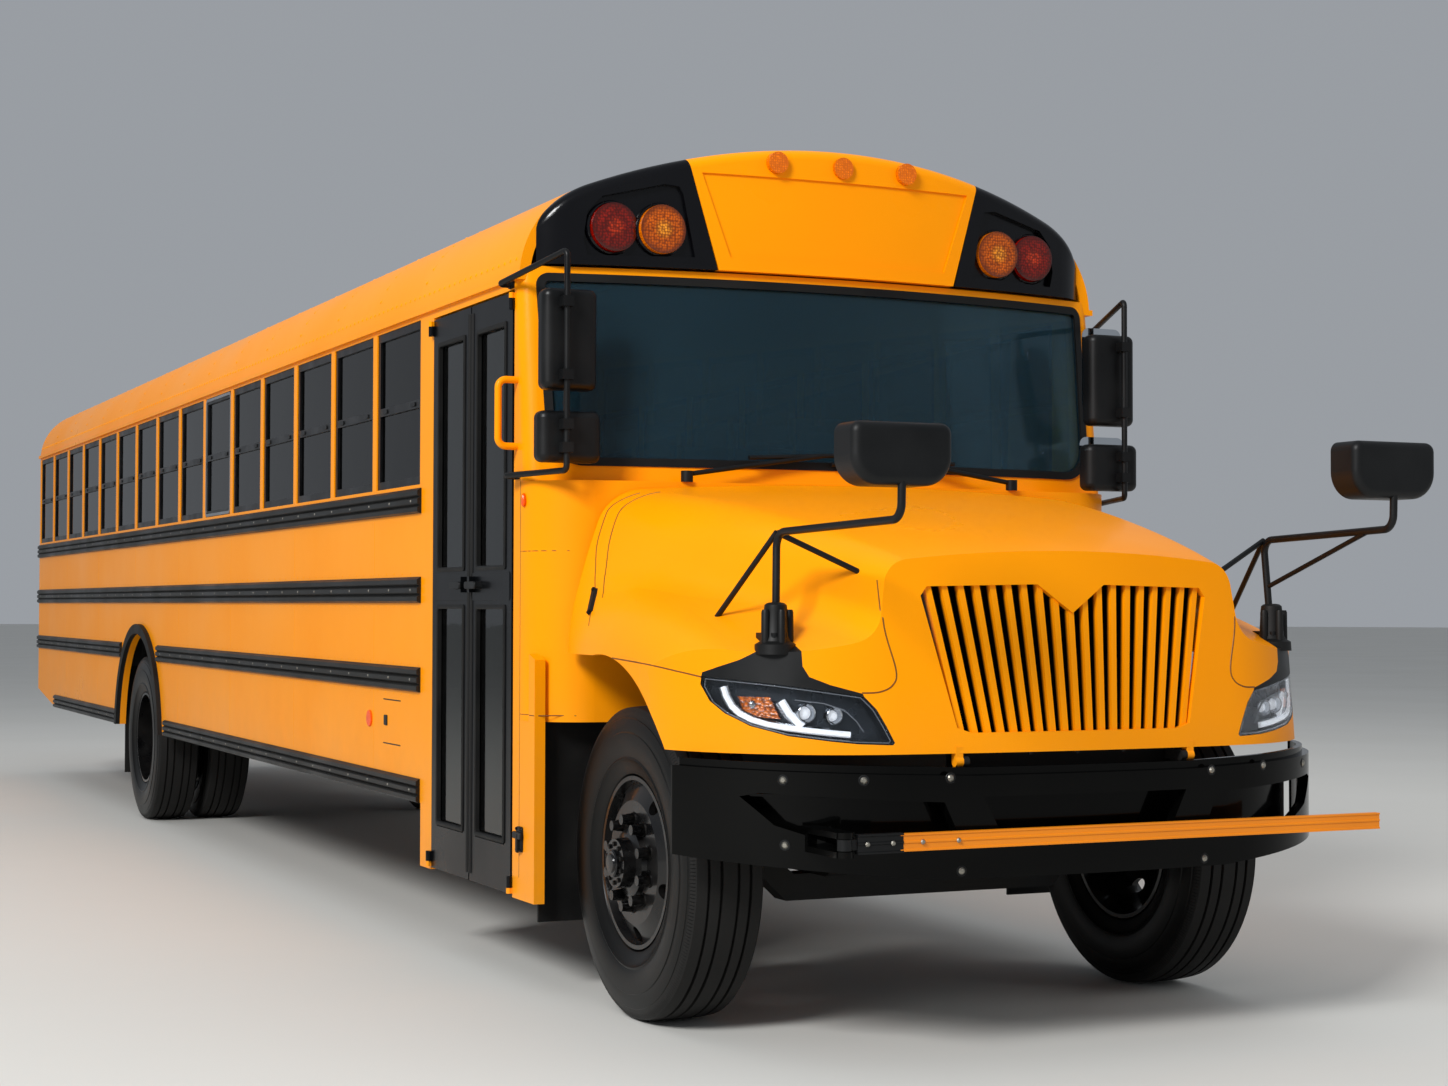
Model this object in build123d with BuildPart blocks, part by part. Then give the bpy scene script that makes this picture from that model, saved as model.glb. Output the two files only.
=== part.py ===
from build123d import *
import math
import os

# School bus, full size, in millimetres. +Z is up, the front faces -Y and the bus's left side is +X.
# Stations along the bus are given from the front axle, fa, as the axle is where the steering turns.
os.makedirs("parts", exist_ok=True)

# Axles and tyres
fa = -5443.5
wheelbase = 7926.0
ra = fa + wheelbase
tyre_d = 1040.0
tyre_w = 280.0
axle_z = tyre_d / 2
rim_r = 286.0
front_track_half = 958.0
dual_track_half = 905.0
dual_pitch = 320.0
kingpin_x = 850.0
steer_arm_y = 190.0
steer_arm_x = 775.0

# Body shell
body_half = 1219.0
wall = 40.0
floor_top = 1040.0
floor_thick = 80.0
skirt_z = 573.0
sill_z = 1847.0
eave_z = 2548.0
roof_z = 3082.0
roof_crown_r = 2752.0
roof_corner_r = 380.0
body_front = fa + 1896.0
body_rear = fa + 12300.0
bay = 690.0
bays = 15
pillar = 60.0
window_z0 = 1862.0
window_z1 = 2532.0

# Front end
cowl_front = fa + 430.0
cowl_edge = fa + 560.0
shelf_bow_r = 7800.0
corner_r = 200.0
post_r = 46.0
shelf_z = 1815.0
screen_y = fa + 487.0
screen_lean = 0.13
screen_bow_r = 4650.0
header_z = 2605.0
cap_front = fa + 562.0
cap_rear = fa + 740.0
cap_bow_r = 4630.0

# Entrance
door_front_y = fa + 787.0
door_rear_y = fa + 1751.0
door_z0 = 322.0
door_z1 = 2518.0
door_thick = 35.0
door_gap = 13.0

# Frame
rail_x = 430.0
rail_h = 240.0
rail_top = floor_top - floor_thick
rail_front = fa - 950.0
rail_rear = body_rear + 30.0
hood_hinge_y = fa - 1012.0
hood_hinge_z = 900.0


def block(x_span, y_span, z_span, mode=Mode.ADD):
    """A box between two corners, given as its spans along X, Y and Z."""
    with Locations((sum(x_span) / 2, sum(y_span) / 2, sum(z_span) / 2)):
        Box(x_span[1] - x_span[0], y_span[1] - y_span[0], z_span[1] - z_span[0], mode=mode)


def rod(start, end, radius, mode=Mode.ADD):
    """A round bar from one point to another."""
    path = Vector(*end) - Vector(*start)
    with BuildSketch(Plane(origin=start, z_dir=path)) as section:
        Circle(radius)
    extrude(section.sketch, amount=path.length, mode=mode)


def bent_tube(points, bend, radius):
    """A round tube along straight runs with an arc at each corner."""
    with BuildLine() as route:
        FilletPolyline(*points, radius=bend)
    with BuildSketch(Plane(origin=points[0], z_dir=route.line % 0)) as section:
        Circle(radius)
    sweep(section.sketch, path=route.line)


def prism_x(outline, x_span, mode=Mode.ADD):
    """A side outline in (y, z), extruded across the bus."""
    with BuildSketch(Plane.YZ.offset(x_span[0])) as section:
        with BuildLine():
            Polyline(*outline, close=True)
        make_face()
    extrude(section.sketch, amount=x_span[1] - x_span[0], mode=mode)


def prism_y(outline, y_span, mode=Mode.ADD):
    """A front outline in (x, z), extruded along the bus."""
    with BuildSketch(Plane(origin=(0, y_span[1], 0), x_dir=(1, 0, 0), z_dir=(0, -1, 0))) as section:
        with BuildLine():
            Polyline(*outline, close=True)
        make_face()
    extrude(section.sketch, amount=y_span[1] - y_span[0], mode=mode)


def save(piece, name):
    """Label a finished piece and write it."""
    piece.part.label = name
    export_step(piece.part, f"parts/{name}.step")


sides = ((-1, "right"), (1, "left"))

# Frame: two channel rails tied by cross members, with the brackets that carry bumper and hood.
cross_members = (fa - 880, fa + 1400, fa + 2600, fa + 4400, fa + 6200, ra - 760, ra + 760, fa + 10400,
                 fa + 12200)
rail_web = 12.0
rail_flange = 80.0
with BuildPart() as frame_rails:
    for side in (-1, 1):
        x_span = sorted((side * (rail_x - rail_flange), side * rail_x))
        block(x_span, (rail_front, rail_rear), (rail_top - rail_h, rail_top))
        inner = sorted((side * (rail_x - rail_flange - 1), side * (rail_x - rail_web)))
        block(inner, (rail_front - 1, rail_rear + 1), (rail_top - rail_h + rail_web, rail_top - rail_web),
              Mode.SUBTRACT)
    cross_half = rail_x - rail_web - 0.3
    for y in cross_members:
        block((-cross_half, cross_half), (y - 40, y + 40), (rail_top - 110, rail_top - 20))
    for side in (-1, 1):
        ear = sorted((side * (rail_x - 38), side * (rail_x - 18)))
        block(ear, (hood_hinge_y, rail_front + 20), (hood_hinge_z - 16, rail_top - 12))
        rod((side * (rail_x - 38), hood_hinge_y, hood_hinge_z),
            (side * (rail_x - 18), hood_hinge_y, hood_hinge_z), 16)
        block(ear, (hood_hinge_y - 20, rail_front - 30), (hood_hinge_z + 16, rail_top), Mode.SUBTRACT)
save(frame_rails, "frame_rails")

# Front axle: an I-beam dropped in the middle, with an upright eye for each kingpin.
eye_r = 42.0
eye_h = 120.0
with BuildPart() as front_axle:
    for side in (-1, 1):
        with Locations((side * kingpin_x, fa, axle_z)):
            Cylinder(eye_r, eye_h)
    beam = ((-kingpin_x, axle_z + 35), (-600, axle_z + 20), (-500, axle_z - 60), (500, axle_z - 60),
            (600, axle_z + 20), (kingpin_x, axle_z + 35), (kingpin_x, axle_z - 35), (640, axle_z - 45),
            (530, axle_z - 150), (-530, axle_z - 150), (-640, axle_z - 45), (-kingpin_x, axle_z - 35))
    prism_y(beam, (fa - 45, fa + 45))
save(front_axle, "front_axle")

# Rear axle: banjo housing with its tubes, ending inside the hubs.
stub_r = 48.0
axle_tube_end = dual_track_half - dual_pitch / 2 - tyre_w / 2 + 60
with BuildPart() as rear_axle:
    rod((-axle_tube_end, ra, axle_z), (axle_tube_end, ra, axle_z), 75)
    with Locations((0, ra, axle_z)):
        Sphere(205)
    rod((0, ra - 330, axle_z + 20), (0, ra - 150, axle_z), 90)
    for side in (-1, 1):
        rod((side * axle_tube_end, ra, axle_z), (side * (dual_track_half + 40), ra, axle_z), stub_r)
save(rear_axle, "rear_axle")

# Leaf springs: four stacked packs between the rails' hangers and the axles.
spring_w = 90.0
spring_x = rail_x - 35
with BuildPart() as leaf_springs:
    # columns: axle station, half span, top of the axle's pad
    for y0, half, pad in ((fa, 560, axle_z - 60), (ra, 700, axle_z + 75)):
        for side in (-1, 1):
            x_span = sorted((side * (spring_x - spring_w / 2), side * (spring_x + spring_w / 2)))
            eye = rail_top - rail_h - 40
            outline = ((y0 - half, eye + 18), (y0 - 160, pad + 75), (y0 + 160, pad + 75),
                       (y0 + half, eye + 18),
                       (y0 + half, eye - 8), (y0 + 160, pad + 0.3), (y0 - 160, pad + 0.3),
                       (y0 - half, eye - 8))
            prism_x(outline, x_span)
            for end in (-1, 1):
                y_span = sorted((y0 + end * half, y0 + end * (half - 60)))
                block(x_span, y_span, (eye - 10, rail_top - rail_h))
save(leaf_springs, "leaf_springs")

# Engine: one plain block on the frame, with its sump between the rails.
engine_y = (fa - 640, fa + 380)
with BuildPart() as engine:
    block((-320, 320), engine_y, (rail_top - 250, 1430))
    fillet(engine.edges().filter_by(Axis.Y), radius=60)
    for y in (fa - 480, fa + 240):
        block((-rail_x + rail_web + 0.3, rail_x - rail_web - 0.3), (y - 60, y + 60),
              (rail_top - 130, rail_top - 40))
save(engine, "engine")

# Radiator: the cooling pack that shows dark behind the grille.
radiator_y = (fa - 900, fa - 800)
with BuildPart() as radiator:
    block((-400, 400), radiator_y, (rail_top + 0.3, 1390))
    fillet(radiator.edges().filter_by(Axis.Y), radius=30)
    block((-rail_x, rail_x), (radiator_y[0] + 20, radiator_y[1] - 20), (rail_top + 0.3, rail_top + 40))
save(radiator, "radiator")

# Driveline: gearbox behind the engine and the shaft back to the rear axle.
gearbox_rear = fa + 1300
shaft_z = rail_top - 190
with BuildPart() as driveline:
    prism_x(((engine_y[1] + 0.3, rail_top - 230), (engine_y[1] + 0.3, rail_top - 20),
             (fa + 560, rail_top - 20),
             (gearbox_rear, rail_top - 90), (gearbox_rear, rail_top - 230)), (-210, 210))
    chamfer(driveline.edges().filter_by(Axis.Y), length=30)
    joint_y = fa + 4300
    rod((0, gearbox_rear + 0.3, shaft_z), (0, joint_y, shaft_z), 50)
    rod((0, joint_y, shaft_z), (0, ra - 334, axle_z + 20), 50)
    with Locations((0, joint_y, shaft_z)):
        Sphere(68)
save(driveline, "driveline")

# Fuel tank: hung outboard of the right rail, behind the skirt.
tank_y = (fa + 2700, fa + 4300)
with BuildPart() as fuel_tank:
    block((-1090, -rail_x - 60), tank_y, (skirt_z + 20, rail_top - 70))
    fillet(fuel_tank.edges().filter_by(Axis.Y), radius=70)
    for y in (tank_y[0] + 300, tank_y[1] - 300):
        block((-rail_x - 70, -rail_x), (y - 40, y + 40), (rail_top - 200, rail_top - 90))
save(fuel_tank, "fuel_tank")

# Exhaust: silencer outboard of the left rail and a tail pipe to the rear bumper.
pipe_x = rail_x + 150
pipe_z = 820.0
tail_z = 630.0
with BuildPart() as exhaust:
    bent_tube(((pipe_x, fa + 1500, pipe_z), (pipe_x, ra - 900, pipe_z), (pipe_x - 30, ra - 600, pipe_z + 60),
               (pipe_x - 30, ra + 600, pipe_z + 60), (pipe_x, ra + 1000, tail_z),
               (pipe_x, body_rear + 60, tail_z)),
              150, 48)
    rod((pipe_x, fa + 3000, pipe_z), (pipe_x, fa + 4100, pipe_z), 120)
    for y in (fa + 1600, fa + 5600):
        block((rail_x, pipe_x), (y - 15, y + 15), (pipe_z - 15, pipe_z + 15))
    block((rail_x, pipe_x), (fa + 11400, fa + 11430), (tail_z, rail_top - 200))
save(exhaust, "exhaust")

# Front bumper: a bowed steel channel with swept ends and a bevelled top edge.
bumper_y = fa - 1090.0
bumper_bow_r = 4486.0
bumper_bend_x = 620.0
bumper_end = (1195.0, fa - 603.0)
bumper_face = 860.0
bumper_rise = 26.0
bumper_ledge = 24.0
bumper_bottom = 550.0
bumper_wall = 22.0
pocket_deep = 90.0
pocket_z = (632.0, 806.0)


def bumper_solid(inset, z_span, back_y):
    """The bumper's plan, bowed in the middle and swept at the ends, as a solid block."""
    front_y = bumper_y + inset
    bend_y = front_y + bumper_bend_x**2 / (2 * bumper_bow_r)
    end = (bumper_end[0] - inset, bumper_end[1])
    with BuildSketch(Plane.XY.offset(z_span[0])) as plan:
        with BuildLine():
            ThreePointArc((-bumper_bend_x, bend_y), (0, front_y), (bumper_bend_x, bend_y))
            for side in (-1, 1):
                TangentArc((side * bumper_bend_x, bend_y), (side * end[0], end[1]),
                           tangent=(side * bumper_bow_r, bumper_bend_x))
                Line((side * end[0], end[1]), (side * end[0], back_y))
            Line((-end[0], back_y), (end[0], back_y))
        make_face()
    return extrude(plan.sketch, amount=z_span[1] - z_span[0], mode=Mode.PRIVATE)


def bumper_crown(lift):
    """Cuts the bumper's top to a line that is level in the middle and climbs to both ends."""
    top = bumper_face + lift
    end = bumper_end[0] + 60
    prism_y(((-end, top + bumper_rise), (-400, top), (400, top), (end, top + bumper_rise), (end, 1200),
             (-end, 1200)),
            (fa - 1300, fa - 400), Mode.SUBTRACT)


with BuildPart() as front_bumper:
    # the face ends in a ledge, and a lower lip stands behind it
    add(bumper_solid(bumper_ledge, (bumper_bottom, 960), bumper_end[1] + 10))
    bumper_crown(bumper_ledge)
    with BuildPart(mode=Mode.PRIVATE) as face:
        add(bumper_solid(0, (bumper_bottom, 960), bumper_end[1] + 10))
        bumper_crown(0)
    add(face.part)
    add(bumper_solid(bumper_ledge + bumper_wall, (bumper_bottom - 1, 1000), bumper_end[1] + 20),
        mode=Mode.SUBTRACT)
    # the underside rises towards the ends, and the face has three air openings
    for side in (-1, 1):
        rise = ((side * 520, bumper_bottom - 1), (side * 1300, bumper_bottom - 1), (side * 1300, 625),
                (side * 1150, 607))
        prism_y(rise, (fa - 1200, fa - 500), Mode.SUBTRACT)
        vent = ((side * 445, 662), (side * 800, 650), (side * 985, 716), (side * 1065, 800),
                (side * 1020, 812),
                (side * 500, 782))
        prism_y(vent, (fa - 1200, fa - 700), Mode.SUBTRACT)
    prism_y(((-300, 660), (300, 660), (371, 796), (-371, 796)), (fa - 1200, fa - 1000), Mode.SUBTRACT)
    # a closed channel behind the openings keeps the road out
    add(bumper_solid(bumper_wall + 20, pocket_z, bumper_end[1] + 10))
    add(bumper_solid(bumper_wall + 19, (pocket_z[0] + 8, pocket_z[1] - 8), bumper_end[1] + 20).cut(
        bumper_solid(pocket_deep, (pocket_z[0], pocket_z[1]), bumper_end[1] + 30)), mode=Mode.SUBTRACT)
    add(bumper_solid(pocket_deep + 8, (pocket_z[0] - 1, pocket_z[1] + 1), bumper_end[1] + 20),
        mode=Mode.SUBTRACT)
    for side in (-1, 1):
        x_span = sorted((side * (rail_x - rail_flange), side * rail_x))
        block(x_span, (bumper_y + bumper_ledge + bumper_wall - 2, rail_front),
              (rail_top - rail_h, bumper_face - 30))
    # pivot bracket of the crossing gate
    gate_pivot = (-880.0, fa - 1138.0)
    for z_span in ((640, 658), (696, 714)):
        block((gate_pivot[0] - 30, gate_pivot[0] + 30), (gate_pivot[1] - 5, fa - 900), z_span)
        with Locations((*gate_pivot, sum(z_span) / 2)):
            Cylinder(26, z_span[1] - z_span[0])
    block((gate_pivot[0] - 30, gate_pivot[0] + 30), (fa - 960, fa - 900), (640, 714))
save(front_bumper, "front_bumper")

# Rear bumper: a plain channel across the tail on two brackets.
with BuildPart() as rear_bumper:
    block((-1190, 1190), (body_rear + 40, body_rear + 100), (700, 950))
    fillet(rear_bumper.edges().filter_by(Axis.Z).group_by(Axis.Y)[-1], radius=50)
    block((-1150, 1150), (body_rear + 39, body_rear + 80), (720, 930), Mode.SUBTRACT)
    for side in (-1, 1):
        x_span = sorted((side * (rail_x - rail_flange), side * rail_x))
        block(x_span, (rail_rear, body_rear + 82), (rail_top - rail_h + 20, rail_top - 20))
save(rear_bumper, "rear_bumper")


def bowed_slab(front, bow_r, z_span, lean, corner, inset=0.0):
    """A body-wide block whose front is bowed in plan, leans back and rounds into its sides."""
    half = body_half - inset
    y_front = front + inset + lean * (z_span[0] - shelf_z)
    corner_x = half - corner
    corner_y = y_front + corner_x**2 / (2 * bow_r)
    slope = corner_x / bow_r
    y_back = body_rear + 100
    with BuildSketch(Plane.XY.offset(z_span[0])) as plan:
        with BuildLine():
            ThreePointArc((-corner_x, corner_y), (0, y_front), (corner_x, corner_y))
            TangentArc((corner_x, corner_y), (half, corner_y + corner * (1 + slope)), tangent=(1, slope))
            TangentArc((-corner_x, corner_y), (-half, corner_y + corner * (1 + slope)), tangent=(-1, slope))
            Line((half, corner_y + corner * (1 + slope)), (half, y_back))
            Line((-half, corner_y + corner * (1 + slope)), (-half, y_back))
            Line((-half, y_back), (half, y_back))
        make_face()
    return extrude(plan.sketch, amount=z_span[1] - z_span[0], dir=(0, lean, 1), mode=Mode.PRIVATE)


# Floor: the deck with the entrance steps and the rear wheel housings.
inner_half = body_half - wall
step_rise = (floor_top - 340.0) / 3
step_x = (-inner_half, -940.0, -700.0, -480.0)
step_plate = 18.0
housing_x = dual_track_half - dual_pitch / 2 - tyre_w / 2 - 40
housing_half = 640.0
housing_z = 1240.0
with BuildPart() as floor:
    block((-inner_half, inner_half), (cowl_front, body_rear - wall), (floor_top - floor_thick, floor_top))
    block((step_x[0] - 1, step_x[3]), (door_front_y, door_rear_y),
          (floor_top - floor_thick - 1, floor_top + 1),
          Mode.SUBTRACT)
    for n in range(3):
        top_z = 340 + n * step_rise
        block((step_x[n], step_x[n + 1] + step_plate), (door_front_y, door_rear_y),
              (top_z - step_plate, top_z))
        block((step_x[n + 1], step_x[n + 1] + step_plate), (door_front_y, door_rear_y),
              (top_z - step_plate, top_z + step_rise))
        for y in (door_front_y, door_rear_y - step_plate):
            block((step_x[n], step_x[n + 1] + step_plate), (y, y + step_plate),
                  (top_z - step_plate, floor_top))
    for side in (-1, 1):
        x_out = sorted((side * housing_x, side * inner_half))
        x_in = sorted((side * (housing_x + 20), side * (inner_half + 1)))
        block(x_out, (ra - housing_half, ra + housing_half), (floor_top - floor_thick, housing_z))
        block(x_in, (ra - housing_half + 20, ra + housing_half - 20),
              (floor_top - floor_thick - 1, housing_z - 20),
              Mode.SUBTRACT)
    add(bowed_slab(cowl_front, shelf_bow_r, (door_z0, housing_z), 0, corner_r - wall, wall),
        mode=Mode.INTERSECT)
save(floor, "floor")

# Where the stop arm pivots: station, height and distance out from the left side.
stop_y = body_front + 120.0
stop_z = 1615.0
stop_x = body_half + 71.0
stop_pin_r = 12.0
stop_half = 80.0

# Side panels: the lower walls and skirts, with the rear wheel arches cut out.
arch_z = 495.0
arch_r = 690.0
skirt_taper_y = fa + 11387.0
skirt_rear_z = 690.0
with BuildPart() as side_panels:
    outline = ((body_front, skirt_z), (skirt_taper_y, skirt_z), (body_rear - wall, skirt_rear_z),
               (body_rear - wall, sill_z), (body_front, sill_z))
    for side in (-1, 1):
        x_span = sorted((side * inner_half, side * body_half))
        prism_x(outline, x_span)
    with Locations(Plane(origin=(0, ra, arch_z), z_dir=(1, 0, 0)).location):
        Cylinder(arch_r, 2 * body_half + 10, mode=Mode.SUBTRACT)
    for z_span in ((stop_z - stop_half - 40, stop_z - stop_half - 0.4),
                   (stop_z + stop_half + 0.4, stop_z + stop_half + 40)):
        block((body_half - 1, stop_x + 3), (stop_y - stop_pin_r, stop_y + stop_pin_r), z_span)
        with Locations((stop_x + 3, stop_y, sum(z_span) / 2)):
            Cylinder(stop_pin_r, z_span[1] - z_span[0])
save(side_panels, "side_panels")

# Window bands: the pillars and headers between sill and eave, one opening to each bay.
band_mid = (body_front + body_rear - wall) / 2
window_mid = (window_z0 + window_z1) / 2
window_l = bay - pillar
window_h = window_z1 - window_z0
window_y = [body_front + (n + 0.5) * bay for n in range(bays)]
with BuildPart() as window_bands:
    for side in (-1, 1):
        with BuildSketch(Plane.YZ.offset(min(side * inner_half, side * body_half))) as band:
            with Locations((band_mid, (sill_z + eave_z) / 2)):
                Rectangle(body_rear - wall - body_front, eave_z - sill_z)
            with Locations([(y, window_mid) for y in window_y]):
                Rectangle(window_l, window_h, mode=Mode.SUBTRACT)
        extrude(band.sketch, amount=wall)
save(window_bands, "window_bands")


def roof_prism(inset, base_z, y_span):
    """The roof's cross-section, a crown arc with two corner arcs, run along the bus."""
    crown = roof_crown_r - inset
    corner = roof_corner_r - inset
    half = body_half - inset
    top = roof_z - inset
    centre_z = top - crown
    corner_x = half - corner
    corner_z = centre_z + math.sqrt((crown - corner) ** 2 - corner_x**2)
    lean = math.atan2(corner_x, corner_z - centre_z)
    join = (crown * math.sin(lean), centre_z + crown * math.cos(lean))
    mid = (math.pi / 2 - lean) / 2
    bend = (corner_x + corner * math.cos(mid), corner_z + corner * math.sin(mid))
    with BuildSketch(Plane(origin=(0, y_span[1], 0), x_dir=(1, 0, 0), z_dir=(0, -1, 0))) as section:
        with BuildLine():
            ThreePointArc((-join[0], join[1]), (0, top), join)
            for side in (-1, 1):
                ThreePointArc((side * join[0], join[1]), (side * bend[0], bend[1]), (side * half, corner_z))
                Line((side * half, corner_z), (side * half, base_z))
            Line((-half, base_z), (half, base_z))
        make_face()
    return extrude(section.sketch, amount=y_span[1] - y_span[0], mode=Mode.PRIVATE)


# Roof: the long shell with its drip rails and the raised rims of two hatches.
roof_thick = 40.0
hatch_y = (fa + 4250.0, fa + 9080.0)
hatch_half = 300.0
hatch_rim = 30.0
rim_top = roof_z + 14.0
lid_half = hatch_half + hatch_rim - 6
hatch_pin = 12.0
with BuildPart() as roof:
    add(roof_prism(0, eave_z, (cap_rear, body_rear - wall)))
    add(roof_prism(roof_thick, eave_z - 1, (cap_rear - 1, body_rear)), mode=Mode.SUBTRACT)
    for side in (-1, 1):
        x_span = sorted((side * (body_half - 10), side * (body_half + 16)))
        block(x_span, (cap_rear, body_rear - wall), (eave_z, eave_z + 22))
    for y in hatch_y:
        with Locations((0, y, (rim_top + roof_z - 50) / 2)):
            Box(2 * (hatch_half + hatch_rim), 2 * (hatch_half + hatch_rim), rim_top - roof_z + 50)
        block((-rail_x, rail_x), (y - 400, y + 400), (roof_z - 120, roof_z - roof_thick - 12), Mode.SUBTRACT)
        block((-hatch_half, hatch_half), (y - hatch_half, y + hatch_half), (roof_z - 100, rim_top + 1),
              Mode.SUBTRACT)
        pin_y = y - lid_half - hatch_pin
        for x in (-180, 180):
            block((x - 12, x + 12), (pin_y - 8, pin_y + 8), (roof_z - 25, rim_top + 8))
            rod((x - 12, pin_y, rim_top + 8), (x + 12, pin_y, rim_top + 8), 8)
save(roof, "roof")

# Screen opening: wide, with large corners at its foot.
screen_corners = ((-1144, 1872), (1144, 1872), (1162, 2574), (-1162, 2574))
screen_low_r = 130.0
screen_high_r = 46.0


def screen_hole(inset):
    """The screen's round-cornered front outline, drawn in by an inset, as a block through the front."""
    with BuildSketch(Plane(origin=(0, fa + 780, 0), x_dir=(1, 0, 0), z_dir=(0, -1, 0))) as hole:
        with BuildLine():
            Polyline(*screen_corners, close=True)
        make_face()
        fillet(hole.vertices().sort_by(Axis.Y)[:2], radius=screen_low_r)
        fillet(hole.vertices().sort_by(Axis.Y)[-2:], radius=screen_high_r)
        if inset:
            offset(amount=-inset)
    return extrude(hole.sketch, amount=480, mode=Mode.PRIVATE)


# Cowl: the front of the body, with the screen frame, rounded posts, bulkhead and door surround.
driver_window = (fa + 960.0, fa + 1830.0)
screen_thick = 14.0
gasket_w = 30.0
gasket_proud = 5.0
with BuildPart() as cowl:
    add(bowed_slab(screen_y, screen_bow_r, (shelf_z, header_z), screen_lean, post_r))
    add(bowed_slab(cowl_front, shelf_bow_r, (rail_top, shelf_z), 0, corner_r))
    add(bowed_slab(screen_y, screen_bow_r, (shelf_z - wall - 1, header_z + 1), screen_lean, post_r - wall,
                   wall),
        mode=Mode.SUBTRACT)
    add(bowed_slab(cowl_front, shelf_bow_r, (rail_top - 1, shelf_z - wall), 0, corner_r - wall, wall),
        mode=Mode.SUBTRACT)
    for side in (-1, 1):
        x_span = sorted((side * inner_half, side * body_half))
        low = door_z0 if side < 0 else skirt_z
        block(x_span, (cowl_edge + 60, body_front), (low, rail_top))
        arch = ((cowl_edge, low), (cowl_edge + 61, low), (cowl_edge + 61, 1200), (cowl_edge, 1180))
        prism_x(arch, x_span)
    block((-body_half - 50, body_half + 50), (body_front, body_rear + 400), (200, header_z + 50),
          Mode.SUBTRACT)
    block((-body_half - 50, body_half + 50), (cap_rear, body_front), (eave_z, header_z + 1), Mode.SUBTRACT)
    block((-body_half - 1, -inner_half + 200), (door_front_y, door_rear_y), (door_z0 - 1, door_z1),
          Mode.SUBTRACT)
    block((inner_half - 1, body_half + 1), driver_window, (window_z0, window_z1), Mode.SUBTRACT)
    add(screen_hole(0), mode=Mode.SUBTRACT)
    # hinge lugs for the two door leaves, clear of the leaves between them
    for y in (door_front_y + 1, door_rear_y - 1):
        for z_span in ((door_z0 + 14, door_z0 + 34), (door_z1 - 34, door_z1 - 14)):
            with Locations((-body_half - 12, y, sum(z_span) / 2)):
                Cylinder(10, z_span[1] - z_span[0])
            block((-body_half - 12, -body_half + 1), (y - 8, y + 8), z_span)
save(cowl, "cowl")

# Windscreen: one bowed, leaned pane in the frame.
with BuildPart() as windshield:
    add(bowed_slab(screen_y, screen_bow_r, (shelf_z, header_z), screen_lean, post_r - 6, 6.0))
    add(bowed_slab(screen_y, screen_bow_r, (shelf_z - 1, header_z + 1), screen_lean,
                   post_r - 6 - screen_thick,
                   6.0 + screen_thick), mode=Mode.SUBTRACT)
    add(screen_hole(gasket_w), mode=Mode.INTERSECT)
save(windshield, "windshield")

# Screen gasket: the black rubber that holds the pane in its frame.
with BuildPart() as screen_gasket:
    add(screen_hole(0))
    add(screen_hole(gasket_w), mode=Mode.SUBTRACT)
    add(bowed_slab(screen_y, screen_bow_r, (shelf_z, header_z), screen_lean, post_r + gasket_proud,
                   -gasket_proud), mode=Mode.INTERSECT)
    add(bowed_slab(screen_y, screen_bow_r, (shelf_z - 1, header_z + 1), screen_lean, post_r - 26, 26.0),
        mode=Mode.SUBTRACT)
save(screen_gasket, "screen_gasket")

# Front cap: the dome over the screen, a yellow centre panel between two black lamp pods.
panel_low = 496.0
panel_high = 640.0
cap_round = 40.0
panel_sunk = 8.0
panel_recess = ((-452, 2655), (452, 2655), (562, 2962), (-562, 2962))
pod_sunk = 22.0
# the pocket's outline on the right, from its inner foot round to its outer foot
pod_pocket = ((588, 2648), (985, 2640), (1000, 2700), (985, 2800), (930, 2858), (700, 2912), (648, 2905),
              (634, 2880))
pod_lamps = (710.0, 888.0)
lamp_r = 89.0
lamp_z = 2745.0
lamp_set = 30.0
lamp_deep = 38.0
marker_x = (-272.0, 0.0, 272.0)
marker_z = 3015.0
marker_r = 40.0


def lamp_seat(x):
    """The station of a warning lamp's flat seat, let into the bowed face."""
    return cap_front + x**2 / (2 * cap_bow_r) + lamp_set


def cap_body(inset):
    """The whole dome, solid, before it is split into its panels."""
    shell = roof_prism(inset, eave_z - 50, (cap_front - 100, cap_rear))
    bow = bowed_slab(cap_front, cap_bow_r, (header_z, roof_z + 50), 0, 170.0 - inset, inset)
    dome = shell.intersect(bow)
    dome = dome[0] if isinstance(dome, (list, ShapeList)) else dome
    if inset >= cap_round:
        return dome
    curved = [edge for edge in dome.edges() if edge.geom_type != GeomType.LINE]
    brow = [edge for edge in curved if edge.center().Z > header_z + 20 and edge.bounding_box().min.Y < cap_rear - 5]
    return dome.fillet(cap_round - inset, brow)


with BuildPart() as cap_centre:
    add(cap_body(0))
    add(cap_body(wall), mode=Mode.SUBTRACT)
    prism_y(((-panel_low, header_z), (panel_low, header_z), (panel_high, roof_z + 20),
             (-panel_high, roof_z + 20)),
            (cap_front - 200, cap_rear + 50), Mode.INTERSECT)
    with BuildPart(mode=Mode.PRIVATE) as sunk:
        prism_y(panel_recess, (cap_front - 200, cap_front + 200))
        add(cap_body(panel_sunk), mode=Mode.SUBTRACT)
    add(sunk.part, mode=Mode.SUBTRACT)
    for x in marker_x:
        rod((x, cap_front - 100, marker_z), (x, cap_front + 28, marker_z), marker_r + 0.3, Mode.SUBTRACT)
save(cap_centre, "front_cap")

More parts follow.
